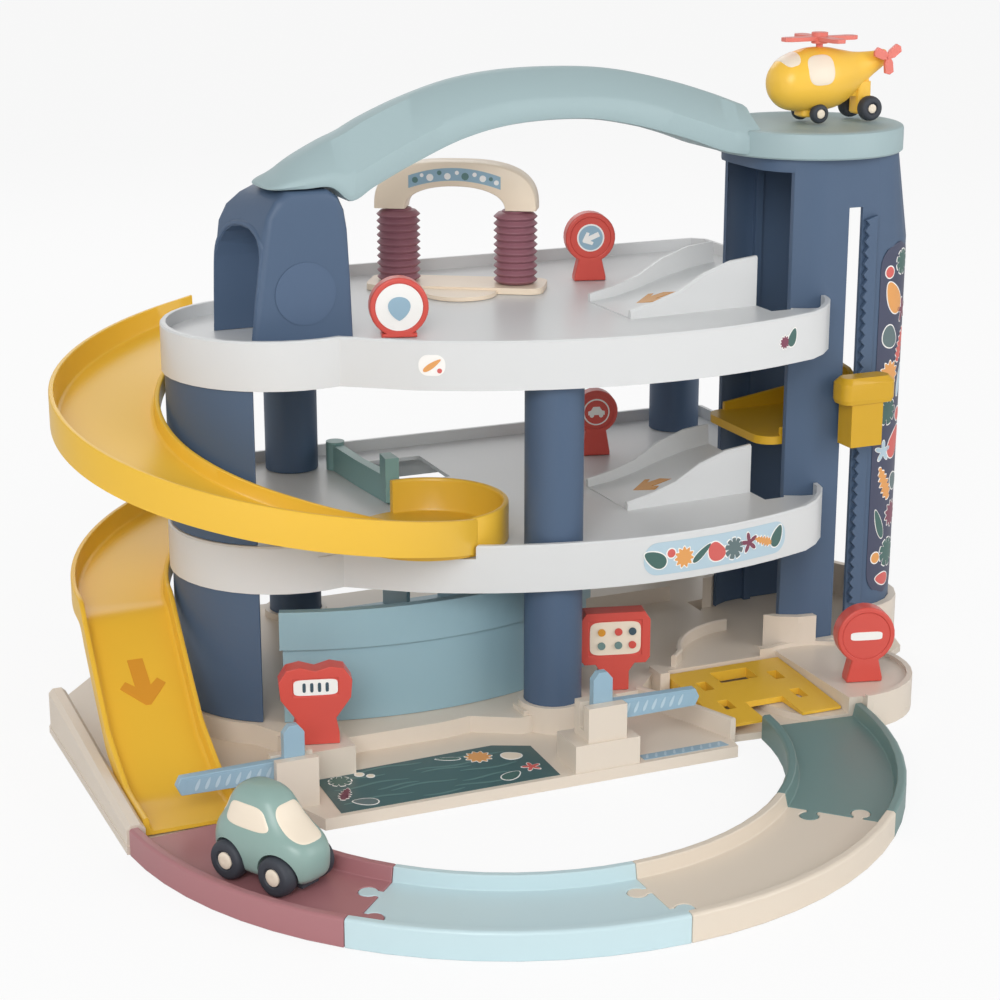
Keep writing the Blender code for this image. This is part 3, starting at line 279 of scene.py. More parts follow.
def smooth(mesh: bpy.types.Mesh, angle: float = 32.0) -> None:
    """Shade a mesh smooth but for edges above an angle in degrees."""
    mesh.polygons.foreach_set("use_smooth", np.ones(len(mesh.polygons), bool))
    mesh.set_sharp_from_angle(angle=math.radians(angle))


@contextmanager
def editing(mesh: bpy.types.Mesh) -> Iterator[bmesh.types.BMesh]:
    """Open a mesh for editing and write the result back."""
    bm = bmesh.new()
    bm.from_mesh(mesh)
    yield bm
    bm.to_mesh(mesh)
    bm.free()


def merged(name: str, parts: Sequence[bpy.types.Mesh]) -> bpy.types.Mesh:
    """One mesh of several, which are removed."""
    whole = bpy.data.meshes.new(name)
    with editing(whole) as bm:
        for part in parts:
            bm.from_mesh(part)
            bpy.data.meshes.remove(part)
    return whole


def grid_mesh(name: str, points: np.ndarray, close_u: bool = False) -> bpy.types.Mesh:
    """Skin a stack of closed loops: point (i, j) joins (i+1, j) and (i, j+1), open ends are closed flat.

    Args:
        name: Name of the mesh.
        points: Array of n loops by m points by 3, in mm.
        close_u: Whether the last loop joins the first.

    Returns:
        The mesh in metres, its faces outwards.
    """
    n, m = points.shape[:2]
    index = np.arange(n * m).reshape(n, m)
    i, j = np.meshgrid(np.arange(n if close_u else n - 1), np.arange(m), indexing="ij")
    i2, j2 = (i + 1) % n, (j + 1) % m
    quads = np.stack([index[i, j], index[i, j2], index[i2, j2], index[i2, j]], -1).reshape(-1, 4)
    faces: list[Sequence[int]] = quads.tolist()
    if not close_u:
        faces += [index[0, ::-1].tolist(), index[-1].tolist()]
    mesh = bpy.data.meshes.new(name)
    mesh.from_pydata((points.reshape(-1, 3) * MM).tolist(), [], faces)
    with editing(mesh) as bm:
        bmesh.ops.recalc_face_normals(bm, faces=bm.faces)
    smooth(mesh)
    return mesh


def prism(name: str, plan: np.ndarray, low: float, high: float) -> bpy.types.Mesh:
    """Upright prism: plan points (x, y) between two heights in mm."""
    return grid_mesh(name, np.stack([np.column_stack([plan, np.full(len(plan), z)]) for z in (low, high)]))


def lathe(name: str, centre: Sequence[float], profile: np.ndarray, angles: np.ndarray,
          full: bool) -> bpy.types.Mesh:
    """Closed profile (r, z) turned about an upright axis: (r cos t, r sin t, z).

    Args:
        name: Name of the mesh.
        centre: Plan centre in mm.
        profile: Points r, z in mm.
        angles: Angles t in radians.
        full: Whether the last angle joins the first.

    Returns:
        The mesh.
    """
    t = angles[:, None]
    r, z = profile[None, :, 0], profile[None, :, 1]
    points = np.stack([centre[0] + r * np.cos(t), centre[1] + r * np.sin(t), z + 0 * t], -1)
    return grid_mesh(name, points, close_u=full)


def plate_mesh(name: str, outline: np.ndarray, origin: Sequence[float], right: Sequence[float],
               up: Sequence[float], depth: float) -> bpy.types.Mesh:
    """Thin plate: outline point (a, b) goes to origin + a*right + b*up, depth along their cross product.

    Args:
        name: Name of the mesh.
        outline: Points a, b in mm, n by 2.
        origin: Place of the outline's zero in mm.
        right: Direction of a.
        up: Direction of b.
        depth: Thickness in mm.

    Returns:
        The mesh in metres.
    """
    r = np.asarray(right, float) / np.linalg.norm(right)
    u = np.asarray(up, float) / np.linalg.norm(up)
    normal = np.cross(r, u)
    flat = np.asarray(origin, float) + outline[:, :1] * r + outline[:, 1:2] * u
    return grid_mesh(name, np.stack([flat, flat + normal * depth]))


def disc(radius: float, count: int = 48) -> np.ndarray:
    """Points of a circle: (r cos t, r sin t)."""
    t = np.linspace(0, 2 * np.pi, count, endpoint=False)
    return np.stack([radius * np.cos(t), radius * np.sin(t)], -1)


def squircle(hx: float, hy: float, power: float = 4.0, count: int = 48) -> np.ndarray:
    """Rounded rectangle as a superellipse: |x/hx|^p + |y/hy|^p = 1."""
    c, s = disc(1.0, count).T
    x = hx * np.sign(c) * np.abs(c) ** (2 / power)
    return np.stack([x, hy * np.sign(s) * np.abs(s) ** (2 / power)], -1)


FINE_EDGE = 0.6
WELD = 0.00001
FLAT = math.radians(0.4)
SHARP = math.radians(38)


@dataclass
class Moulding:
    """A CAD piece carried over: merged, its edges rounded and its finish added."""

    node: str
    finish: Finish
    edge: float
    curved: bool

    def build(self) -> None:
        """Copy the node's mesh, merge it, round its edges and hide the node."""
        name = "look_" + self.node
        mesh = FRAME["nodes"][self.node].data.copy()
        mesh.name = name
        with editing(mesh) as bm:
            bmesh.ops.remove_doubles(bm, verts=bm.verts, dist=WELD)
            if not self.curved:
                bmesh.ops.dissolve_limit(bm, angle_limit=FLAT, verts=bm.verts, edges=bm.edges)
        smooth(mesh)
        obj = link(name, mesh, self.finish, BODY_OF[self.node])
        if self.edge:
            bevel = obj.modifiers.new("soft edge", "BEVEL")
            bevel.width = self.edge * MM
            bevel.segments = 3 if self.edge > 1 else 2
            bevel.limit_method = "ANGLE"
            bevel.angle_limit = SHARP
            bevel.use_clamp_overlap = True
            even = obj.modifiers.new("even shading", "WEIGHTED_NORMAL")
            even.keep_sharp = True
        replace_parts(obj, self.node)


LAMPS = (("key", (-1.2, -1.9, 1.35), 1.3, 29.0), ("fill", (1.6, -1.5, 1.0), 1.5, 13.0),
         ("back", (0.4, 2.0, 1.6), 1.6, 10.0))
LAMP_AIM = Vector((0.05, 0.08, 0.15))
FLOOR_HALF, FLOOR_Z = 12, -0.0004
FLOOR_GLOW = 0.88
WHITE = (1.0, 1.0, 1.0, 1.0)


@dataclass
class Studio:
    """Pale floor, soft lamps and the camera at the photo's place."""

    eye: tuple[float, float, float] = (-0.556, -1.270, 0.600)
    look: tuple[float, float, float] = (0.3823, 0.8793, -0.2840)
    lens: float = 81.0

    def build(self) -> None:
        """Add camera, world, lamps and floor."""
        scene = bpy.context.scene
        scene.view_settings.view_transform = "Standard"
        camera = bpy.data.objects.new("camera", bpy.data.cameras.new("camera"))
        camera.data.lens = self.lens
        camera.data.sensor_width = 36.0
        camera.data.clip_end = 50.0
        camera.location = self.eye
        camera.rotation_euler = Vector(self.look).to_track_quat("-Z", "Y").to_euler()
        scene.collection.objects.link(camera)
        scene.camera = camera
        self.world()
        for name, place, size, power in LAMPS:
            lamp = bpy.data.objects.new(name, bpy.data.lights.new(name, "AREA"))
            lamp.data.shape = "DISK"
            lamp.data.size = size
            lamp.data.energy = power
            lamp.location = place
            lamp.rotation_euler = (LAMP_AIM - Vector(place)).to_track_quat("-Z", "Y").to_euler()
            scene.collection.objects.link(lamp)
        self.floor()

    def world(self) -> None:
        """White surroundings: dim for lighting, full white to the camera and in reflections."""
        world = bpy.data.worlds.new("surroundings")
        bpy.context.scene.world = world
        world.use_nodes = True
        tree = world.node_tree
        base = tree.nodes["Background"]
        base.inputs["Color"].default_value = WHITE
        place = tree.nodes.new("ShaderNodeTexCoord")
        split = tree.nodes.new("ShaderNodeSeparateXYZ")
        fade = tree.nodes.new("ShaderNodeMapRange")
        tree.links.new(place.outputs["Generated"], split.inputs[0])
        tree.links.new(split.outputs["Z"], fade.inputs["Value"])
        for key, value in (("From Min", 0.05), ("From Max", 0.75), ("To Min", 0.86), ("To Max", 0.42)):
            fade.inputs[key].default_value = value
        tree.links.new(fade.outputs[0], base.inputs["Strength"])
        bright = tree.nodes.new("ShaderNodeBackground")
        bright.inputs["Color"].default_value = WHITE
        path = tree.nodes.new("ShaderNodeLightPath")
        choose = tree.nodes.new("ShaderNodeMixShader")
        tree.links.new(path.outputs["Is Camera Ray"], choose.inputs[0])
        tree.links.new(base.outputs[0], choose.inputs[1])
        tree.links.new(bright.outputs[0], choose.inputs[2])
        tree.links.new(choose.outputs[0], tree.nodes["World Output"].inputs["Surface"])

    def floor(self) -> None:
        """Wide pale floor that keeps a soft shadow."""
        mesh = bpy.data.meshes.new("floor")
        corners = ((-1, -1), (1, -1), (1, 1), (-1, 1))
        mesh.from_pydata([(x * FLOOR_HALF, y * FLOOR_HALF, FLOOR_Z) for x, y in corners], [], [(0, 1, 2, 3)])
        floor = bpy.data.objects.new("floor", mesh)
        bpy.context.scene.collection.objects.link(floor)
        shader = Shader("floor_white")
        shader.main.inputs["Base Color"].default_value = (0.86, 0.86, 0.86, 1.0)
        shader.main.inputs["Roughness"].default_value = 0.9
        shader.main.inputs["Specular IOR Level"].default_value = 0.0
        glow = shader.node("Emission", Strength=1.0)
        ray = shader.node("LightPath").out("Is Camera Ray")
        both = shader.node("MixShader", in0=ray * FLOOR_GLOW)
        tree = shader.tree
        tree.links.new(shader.main.outputs[0], both.raw.inputs[1])
        tree.links.new(glow.raw.outputs[0], both.raw.inputs[2])
        tree.links.new(both.raw.outputs[0], tree.nodes["Material Output"].inputs["Surface"])
        mesh.materials.append(shader.material)


def spline(keys: Sequence[Sequence[float]], count: int) -> np.ndarray:
    """Catmull-Rom curve through rows of keys: each cubic takes its slopes from the rows beside it.

    Args:
        keys: Rows of values.
        count: Number of samples.

    Returns:
        Array of count rows.
    """
    k = np.asarray(keys, float)
    pad = np.vstack([2 * k[0] - k[1], k, 2 * k[-1] - k[-2]])
    u = np.linspace(0, len(k) - 1, count)
    i = np.minimum(u.astype(int), len(k) - 2)
    t = (u - i)[:, None]
    a, b, c, d = pad[i], pad[i + 1], pad[i + 2], pad[i + 3]
    square, cube = (2 * a - 5 * b + 4 * c - d) * t ** 2, (3 * b - a - 3 * c + d) * t ** 3
    return 0.5 * (2 * b + (c - a) * t + square + cube)


def carve(obj: bpy.types.Object, cutters: Sequence[bpy.types.Mesh]) -> None:
    """Take closed meshes away from an object and keep the result as its mesh."""
    for mesh in cutters:
        tool = bpy.data.objects.new("tool", mesh)
        bpy.context.scene.collection.objects.link(tool)
        step = obj.modifiers.new("cut", "BOOLEAN")
        step.operation = "DIFFERENCE"
        step.solver = "EXACT"
        step.object = tool
        graph = bpy.context.evaluated_depsgraph_get()
        graph.update()
        result = bpy.data.meshes.new_from_object(obj.evaluated_get(graph))
        obj.modifiers.clear()
        obj.data = result
        bpy.data.objects.remove(tool, do_unlink=True)
    smooth(obj.data, 34.0)


@dataclass(frozen=True)
class Frame2:
    """Place and heading of a toy vehicle: x forward, y left, z up from the floor plane."""

    at: tuple[float, float]
    heading: float

    def world(self, local: np.ndarray) -> np.ndarray:
        """Turn local points about Z by the heading and move them to their place."""
        c, s = math.cos(math.radians(self.heading)), math.sin(math.radians(self.heading))
        x, y, z = local[..., 0], local[..., 1], local[..., 2]
        return np.stack([self.at[0] + x * c - y * s, self.at[1] + x * s + y * c, z], -1)

    def rod(self, name: str, x: float, z: float, span: Sequence[float], radius: float) -> bpy.types.Mesh:
        """Cylinder across the vehicle round the local line x, z: (x + r cos t, y, z + r sin t)."""
        ring = disc(radius, 40)
        loops = [np.stack([x + ring[:, 0], np.full(40, y), z + ring[:, 1]], -1) for y in span]
        return grid_mesh(name, self.world(np.stack(loops)))

    def wheels(self, kind: str, end: str, place: Sequence[float], radius: float, span: Sequence[float],
               cap: float) -> None:
        """Both wheels of an axle: tyres turned from their half section, with pale hub caps.

        Args:
            kind: Vehicle, car or heli.
            end: front or rear.
            place: Local x and z of the axle.
            radius: Tyre radius in mm.
            span: Inner and outer distance from the middle in mm.
            cap: Radius of the hub cap.
        """
        y0, y1 = span
        t = np.linspace(-0.5 * np.pi, 0.5 * np.pi, 15)
        half = (y1 - y0) / 2
        shoulder = np.stack([radius - 3.2 + 3.2 * np.cos(t) ** 0.7, (y0 + y1) / 2 + half * np.sin(t)], -1)
        tyre = np.vstack([[[1.8, y0]], shoulder, [[cap + 1.0, y1 - 0.2], [cap, y1 - 1.6], [1.8, y1 - 1.6]]])
        dome = np.array([[0.05, y1 - 1.7], [cap - 0.4, y1 - 1.7], [cap - 0.4, y1 - 0.7], [cap - 1.4, y1 - 0.2],
                         [1.6, y1 - 0.1], [0.05, y1 - 0.3]])
        body = kind + "_" + end + "_wheels"
        for side, tag in ((1, "left"), (-1, "right")):
            label = end + "_" + tag
            wheel = self.turn("look_" + kind + "_wheel_" + label, place, tyre, side, Finish.TYRE, body)
            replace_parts(wheel, kind + "_wheel_" + label)
            self.turn(kind + "_hub_" + label, place, dome, side, Finish.CREAM, body)

    def turn(self, name: str, place: Sequence[float], profile: np.ndarray, side: int, finish: Finish,
             body: str) -> bpy.types.Object:
        """Turn a closed profile (r, y) about the axle: (x + r cos a, side y, z + r sin a).

        Args:
            name: Name of the piece.
            place: Local x and z of the axle.
            profile: Points r, y in mm.
            side: 1 left, -1 right.
            finish: Its finish.
            body: Body that it turns with.

        Returns:
            The piece.
        """
        a = np.linspace(0, 2 * np.pi, 44, endpoint=False)[:, None]
        r, y = profile[None, :, 0], profile[None, :, 1]
        local = np.stack([place[0] + r * np.cos(a), side * y + 0 * a, place[1] + r * np.sin(a)], -1)
        return link(name, grid_mesh(name, self.world(local), close_u=True), finish, body)


Skin = Callable[[np.ndarray, np.ndarray], tuple[np.ndarray, np.ndarray]]
Surface = Callable[[np.ndarray, np.ndarray, float], np.ndarray]


def skinned(name: str, skin: Skin, frame: Frame2, keys: Sequence[Sequence[float]], rows: int,
            count: int) -> bpy.types.Mesh:
    """Closed body of a vehicle: loops of its skin at heights or lengths along its smoothed keys.

    Args:
        name: Name of the mesh.
        skin: The vehicle's skin.
        frame: Vehicle frame.
        keys: Rows that the skin follows, the first value of each being its place.
        rows: Number of loops.
        count: Points of each loop.

    Returns:
        The mesh.
    """
    place = spline(keys, rows)[:, :1]
    t = np.linspace(0, 2 * np.pi, count, endpoint=False)
    points, _ = skin(t[None, :] + 0 * place, place + 0 * t[None, :])
    return grid_mesh(name, frame.world(points))


PANEL_LIFT = 0.35


def patch(name: str, skin: Skin, frame: Frame2, centre: Sequence[float], half: Sequence[float],
          power: float) -> bpy.types.Mesh:
    """Thin panel on a skin: rings from its middle to a rounded-rectangle edge, raised, its rim sunk.

    Args:
        name: Name of the mesh.
        skin: The vehicle's skin.
        frame: Vehicle frame.
        centre: Middle of the panel in the skin's parameters.
        half: Half extents in parameters.
        power: Superellipse power of its edge.

    Returns:
        The closed mesh.
    """
    radii = np.array([0.02, 0.25, 0.5, 0.72, 0.88, 0.96, 1.0, 1.0])
    rise = np.array([1, 1, 1, 1, 1, 0.8, 0.2, -3.0]) * PANEL_LIFT
    edge = squircle(1.0, 1.0, power, 56)
    u = centre[0] + half[0] * radii[:, None] * edge[None, :, 0]
    v = centre[1] + half[1] * radii[:, None] * edge[None, :, 1]
    points, normals = skin(u, v)
    top = points + normals * rise[:, None, None]
    low = points[::-1] - normals[::-1] * 3.0 * PANEL_LIFT
    return grid_mesh(name, frame.world(np.concatenate([top, low[1:]])))


@dataclass
class ToyCar:
    """Rounded toy car on the burgundy track."""

    frame: Frame2 = Frame2((-196.0, -106.0), -61.0)
    axle: float = 19.0
    axle_z: float = 21.8
    keys: tuple[tuple[float, ...], ...] = (
        (16.8, 31, 13, 0, 3.2), (17.6, 34, 16, 0, 3.2), (21, 36.6, 18.3, 0.3, 3.2), (28, 37.9, 19.4, 0.2, 3.0),
        (35, 37.6, 19.5, 0, 2.9), (41, 35, 18.8, -0.8, 2.8), (46, 29.5, 17.6, -3, 2.7),
        (52, 23.6, 16.4, -4.6, 2.7), (58, 20, 14.9, -5.6, 2.7), (63, 16.5, 12.8, -6.2, 2.7),
        (66.5, 12, 9.6, -6.8, 2.6), (68.4, 6.5, 5.4, -7.2, 2.4),
        (68.9, 0.5, 0.5, -7.4, 2.2),
    )

    def skin(self, t: np.ndarray, z: np.ndarray) -> tuple[np.ndarray, np.ndarray]:
        """Body skin: superellipse loops whose half length, half width, shift and power follow the height.

        Args:
            t: Angle round the loop.
            z: Height in mm.

        Returns:
            Local points and outward directions.
        """
        fine = spline(self.keys, 160)
        hx, hy, cx, p = (np.interp(z, fine[:, 0], fine[:, i]) for i in (1, 2, 3, 4))
        c, s = np.cos(t), np.sin(t)
        x = hx * np.sign(c) * np.abs(c) ** (2 / p)
        y = hy * np.sign(s) * np.abs(s) ** (2 / p)
        above, below = (np.interp(z + step, fine[:, 0], fine[:, 2]) for step in (1, -1))
        slope = (above - below) / 2
        normal = np.stack([x / hx ** 2 * 15, y / hy ** 2 * 15, -slope * 0.9 + 0 * x], -1)
        normal /= np.linalg.norm(normal, axis=-1, keepdims=True)
        return np.stack([x + cx, y, z + 0 * x], -1), normal

    def build(self) -> None:
        """Build body, windows and wheels, and cut the wheel arches and axle ways through the body."""
        mesh = skinned("look_car_body", self.skin, self.frame, self.keys, 46, 96)
        body = link("look_car_body", mesh, Finish.CAR, "car")
        tools = []
        for x in (-self.axle, self.axle):
            for name, span, radius in (
                ("arch", (-26, -9), 13.6), ("arch", (9, 26), 13.6), ("way", (-10, 10), 5.2),
            ):
                tools.append(self.frame.rod(name, x, self.axle_z, span, radius))
        carve(body, tools)
        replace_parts(body, "car_body")
        windows = (
            ("car_windscreen", (0.0, 51.0), (0.62, 9.5)), ("car_window_left", (1.62, 52.5), (0.60, 7.0)),
            ("car_window_right", (-1.62, 52.5), (0.60, 7.0)), ("car_window_back", (3.14159, 53.0), (0.55, 6.5)),
        )
        shown = []
        for name, centre, half in windows:
            mesh = patch(name, self.skin, self.frame, centre, half, 3.0)
            shown.append(link(name, mesh, Finish.CREAM, "car"))
        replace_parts(shown[0], "car_window")
        for end, x in (("rear", -self.axle), ("front", self.axle)):
            self.frame.wheels("car", end, (x, self.axle_z), 12.5, (10.2, 21.5), 5.6)
        LOG.info("car built")


@dataclass
class ToyHelicopter:
    """Rounded toy helicopter on the landing pad, nose to the left."""

    frame: Frame2 = Frame2((313.0, 141.0), 180.0)
    keys: tuple[tuple[float, ...], ...] = (
        (46, 0.6, 428, 429.5), (45, 6, 422, 436), (42, 12, 416.5, 441.5), (34, 17.5, 410.5, 448),
        (18, 20, 408, 453), (2, 19.2, 408.5, 453.5), (-12, 14.8, 412, 451), (-24, 9.6, 420, 449),
        (-38, 5.6, 431, 449), (-48, 4, 438, 450), (-50.5, 2.2, 441, 448), (-51, 0.4, 444, 445),
    )

    def skin(self, t: np.ndarray, x: np.ndarray) -> tuple[np.ndarray, np.ndarray]:
        """Hull skin: ellipses across the hull whose half width and height follow the length.

        Args:
            t: Angle round the hull, 0 at its left, a quarter turn at its top.
            x: Place along the hull in mm.

        Returns:
            Local points and outward directions.
        """
        fine = spline(self.keys, 160)[::-1]
        hy, z0, z1 = (np.interp(x, fine[:, 0], fine[:, i]) for i in (1, 2, 3))
        hz = (z1 - z0) / 2
        y, z = hy * np.cos(t), hz * np.sin(t)
        ahead, behind = (np.interp(x + step, fine[:, 0], fine[:, 1]) for step in (1, -1))
        slope = (ahead - behind) / 2
        normal = np.stack([-slope + 0 * y, np.cos(t) + 0 * y, np.sin(t) + 0 * y], -1)
        normal /= np.linalg.norm(normal, axis=-1, keepdims=True)
        return np.stack([x + 0 * y, y, (z0 + z1) / 2 + z], -1), normal

    def build(self) -> None:
        """Build hull, underside blocks, windows and wheels."""
        mesh = skinned("look_heli_body", self.skin, self.frame, self.keys, 60, 72)
        body = link("look_heli_body", mesh, Finish.HELI, "helicopter")
        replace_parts(body, "heli_body")
        self.underside()
        for name, centre, half in (
            ("heli_window_left", (0.42, 14.0), (0.52, 10.5)),
            ("heli_window_right", (math.pi - 0.42, 14.0), (0.52, 10.5)),
            ("heli_windscreen", (math.pi / 2, 33.0), (0.85, 6.0)),
        ):
            mesh = patch(name, self.skin, self.frame, centre, half, 3.2)
            shown = link(name, mesh, Finish.CREAM, "helicopter")
            if name == "heli_window_left":
                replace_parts(shown, "heli_window")
        self.frame.wheels("heli", "rear", (-30.0, 409.6), 9.0, (8.5, 18.0), 3.6)
        self.frame.wheels("heli", "front", (12.0, 407.6), 7.0, (9.2, 16.5), 3.6)
        LOG.info("helicopter built")

    def underside(self) -> None:
        """Add the axle lugs and the tail boom's keel as rounded blocks."""
        for name, x, half, low, high in (
            ("heli_lug_rear", -30.0, (6.0, 6.8), 404.9, 428.0),
            ("heli_lug_front", 12.0, (10.0, 7.6), 404.6, 414.0),
            ("heli_keel", -22.0, (14.0, 4.6), 417.5, 432.0),
        ):
            ring = squircle(half[0], half[1], 5.0, 40)
            loops = []
            for z, shrink in ((low, 0.86), (low + 1.2, 1.0), (high, 0.95)):
                loops.append(np.stack([x + ring[:, 0] * shrink, ring[:, 1] * shrink, np.full(40, z)], -1))
            mesh = grid_mesh(name, self.frame.world(np.stack(loops)))
            link(name, mesh, Finish.HELI, "helicopter")


# Directions of the signs' faces, and the outline of a painted arrow in mm.
FACE = (0.9659, -0.2588, 0.0)
FRONT = (-0.2588, -0.9659, 0.0)
UP = (0.0, 0.0, 1.0)
# Width in mm of the soft edges that differ from FINE_EDGE, and the pieces whose facets stay as they are.
EDGES = {"deck_level_1": 1.8, "deck_level_2": 1.8, "left_tower_cap": 2.0, "lift_grip": 1.5, "base_plate": 0.8,
         "sign_arrow": 1.5, "sign_parking": 1.5, "sign_pin": 1.5, "stop_sign": 1.5, "parking_meter": 1.8,
         "fuel_pump": 1.8}
CURVED = {"ground_ramp", "left_tower_cap"}
ARROW = np.array([(-4.6, -17), (4.6, -17), (4.6, 3), (9.5, -1.5), (13.5, 3), (1.5, 17), (-1.5, 17), (-13.5, 3),
                  (-9.5, -1.5), (-4.6, 3)], float)


def motif(kind: str, size: float, turn: float, grow: float = 0.0) -> np.ndarray:
    """Outline of one generic motif, star-shaped round its centre.

    Leaf, fern and blade: x = w sin t (1 - 0.3 cos t), y = cos t, the fern with a saw-toothed width. Star,
    pebble, sun, dot and notched leaf: radius as a wave of the angle.

    Args:
        kind: Name of the motif.
        size: Half length in mm.
        turn: Turn in degrees.
        grow: Border added all round in mm.

    Returns:
        Array of 96 rows (a, b) in mm.
    """
    t = np.linspace(0, 2 * np.pi, 96, endpoint=False)
    s, c = np.sin(t), np.cos(t)
    if kind in ("leaf", "fern", "blade"):
        wide = {"leaf": 0.56, "fern": 0.4, "blade": 0.26}[kind]
        tooth = 0.72 + 0.28 * np.cos(20 * c) if kind == "fern" else 1.0
        points = np.stack([wide * s * (1 - 0.3 * c) * tooth, c], -1)
    else:
        wave = {
            "star": 0.66 + 0.34 * np.cos(5 * t),
            "pebble": 0.86 + 0.09 * np.cos(2 * t + 1) + 0.05 * np.cos(3 * t),
            "sun": 0.86 + 0.14 * np.cos(11 * t), "dot": 1.0 + 0 * t,
            "notched": (0.9 - 0.12 * np.cos(t)) * (1 - 0.42 * np.clip(np.cos(9 * t), 0, 1) ** 4),
        }[kind]
        points = np.stack([wave * s, wave * c], -1)
    points = points * size
    if grow:
        reach = np.maximum(np.hypot(points[:, 0], points[:, 1]), 0.4 * size)
        points = points * (1 + grow / reach)[:, None]
    (x, y), c, s = points.T, math.cos(math.radians(turn)), math.sin(math.radians(turn))
    return np.stack([x * c - y * s, x * s + y * c], -1)


@dataclass
class Sticker:
    """Motifs printed on a surface, each with a pale border."""

    name: str
    surface: Surface
    body: str = "garage"
    border: float = 0.9

    def sheet(self, label: str, outlines: Sequence[np.ndarray], low: float, high: float,
              finish: Finish) -> None:
        """Merge outlines into one thin sheet that follows the surface.

        Args:
            label: Ending of the piece's name.
            outlines: Closed outlines in the surface's a, b coordinates.
            low: Height of the underside over the surface in mm.
            high: Height of the upper side.
            finish: Its finish.
        """
        parts = []
        steps = [(k, low) for k in (0.04, 0.4, 0.75, 1.0)] + [(k, high) for k in (1.0, 0.75, 0.4, 0.04)]
        for outline in outlines:
            centre = outline.mean(0)
            rings = [self.surface(*(centre + (outline - centre) * k).T, lift) for k, lift in steps]
            parts.append(grid_mesh("part", np.stack(rings)))
        link(self.name + label, merged(self.name + label, parts), finish, self.body)

    def build(self, rows: Sequence[tuple[str, float, float, float, float, Finish]], over: float = 0.1) -> None:
        """Add the motifs.

        Args:
            rows: Kind, a, b, size, turn and finish of each motif.
            over: Height of the first sheet over the surface in mm.
        """
        if self.border:
            back = [motif(k, size, turn, self.border) + (a, b) for k, a, b, size, turn, _ in rows]
            self.sheet("_border", back, over - 0.08, over + 0.1, Finish.WHITE_MARK)
        for finish in dict.fromkeys(row[5] for row in rows):
            same = [motif(k, size, turn) + (a, b) for k, a, b, size, turn, f in rows if f is finish]
            self.sheet("_" + finish.name.lower(), same, over + 0.02, over + 0.22, finish)


def on_round(centre: Sequence[float], radius: float, angle: float, height: float) -> Surface:
    """Surface of an upright cylinder: a runs round it from the angle, b upwards from the height."""
    def surface(a: np.ndarray, b: np.ndarray, lift: float) -> np.ndarray:
        turn = math.radians(angle) + a / radius
        r = radius + lift
        return np.stack([centre[0] + r * np.cos(turn), centre[1] + r * np.sin(turn), height + b], -1)
    return surface


def on_flat(origin: Sequence[float], right: Sequence[float], up: Sequence[float]) -> Surface:
    """Flat surface through origin: a runs along right, b along up."""
    r, u = np.asarray(right, float), np.asarray(up, float)
    normal = np.cross(r, u)

    def surface(a: np.ndarray, b: np.ndarray, lift: float) -> np.ndarray:
        return np.asarray(origin, float) + a[:, None] * r + b[:, None] * u + lift * normal
    return surface


SIGNS = (("pin", (-28, 115, 297), 20.0, 6.0), ("arrow", (176, 245, 309), 19.0, 6.0),
         ("parking", (185, 250, 172), 17.0, 6.0), ("stop", (279, 4, 57), 21.0, 6.5))
METER, PUMP = (-119, 38, 68), (112, 66, 59)
BOARD_FACE = 6.1


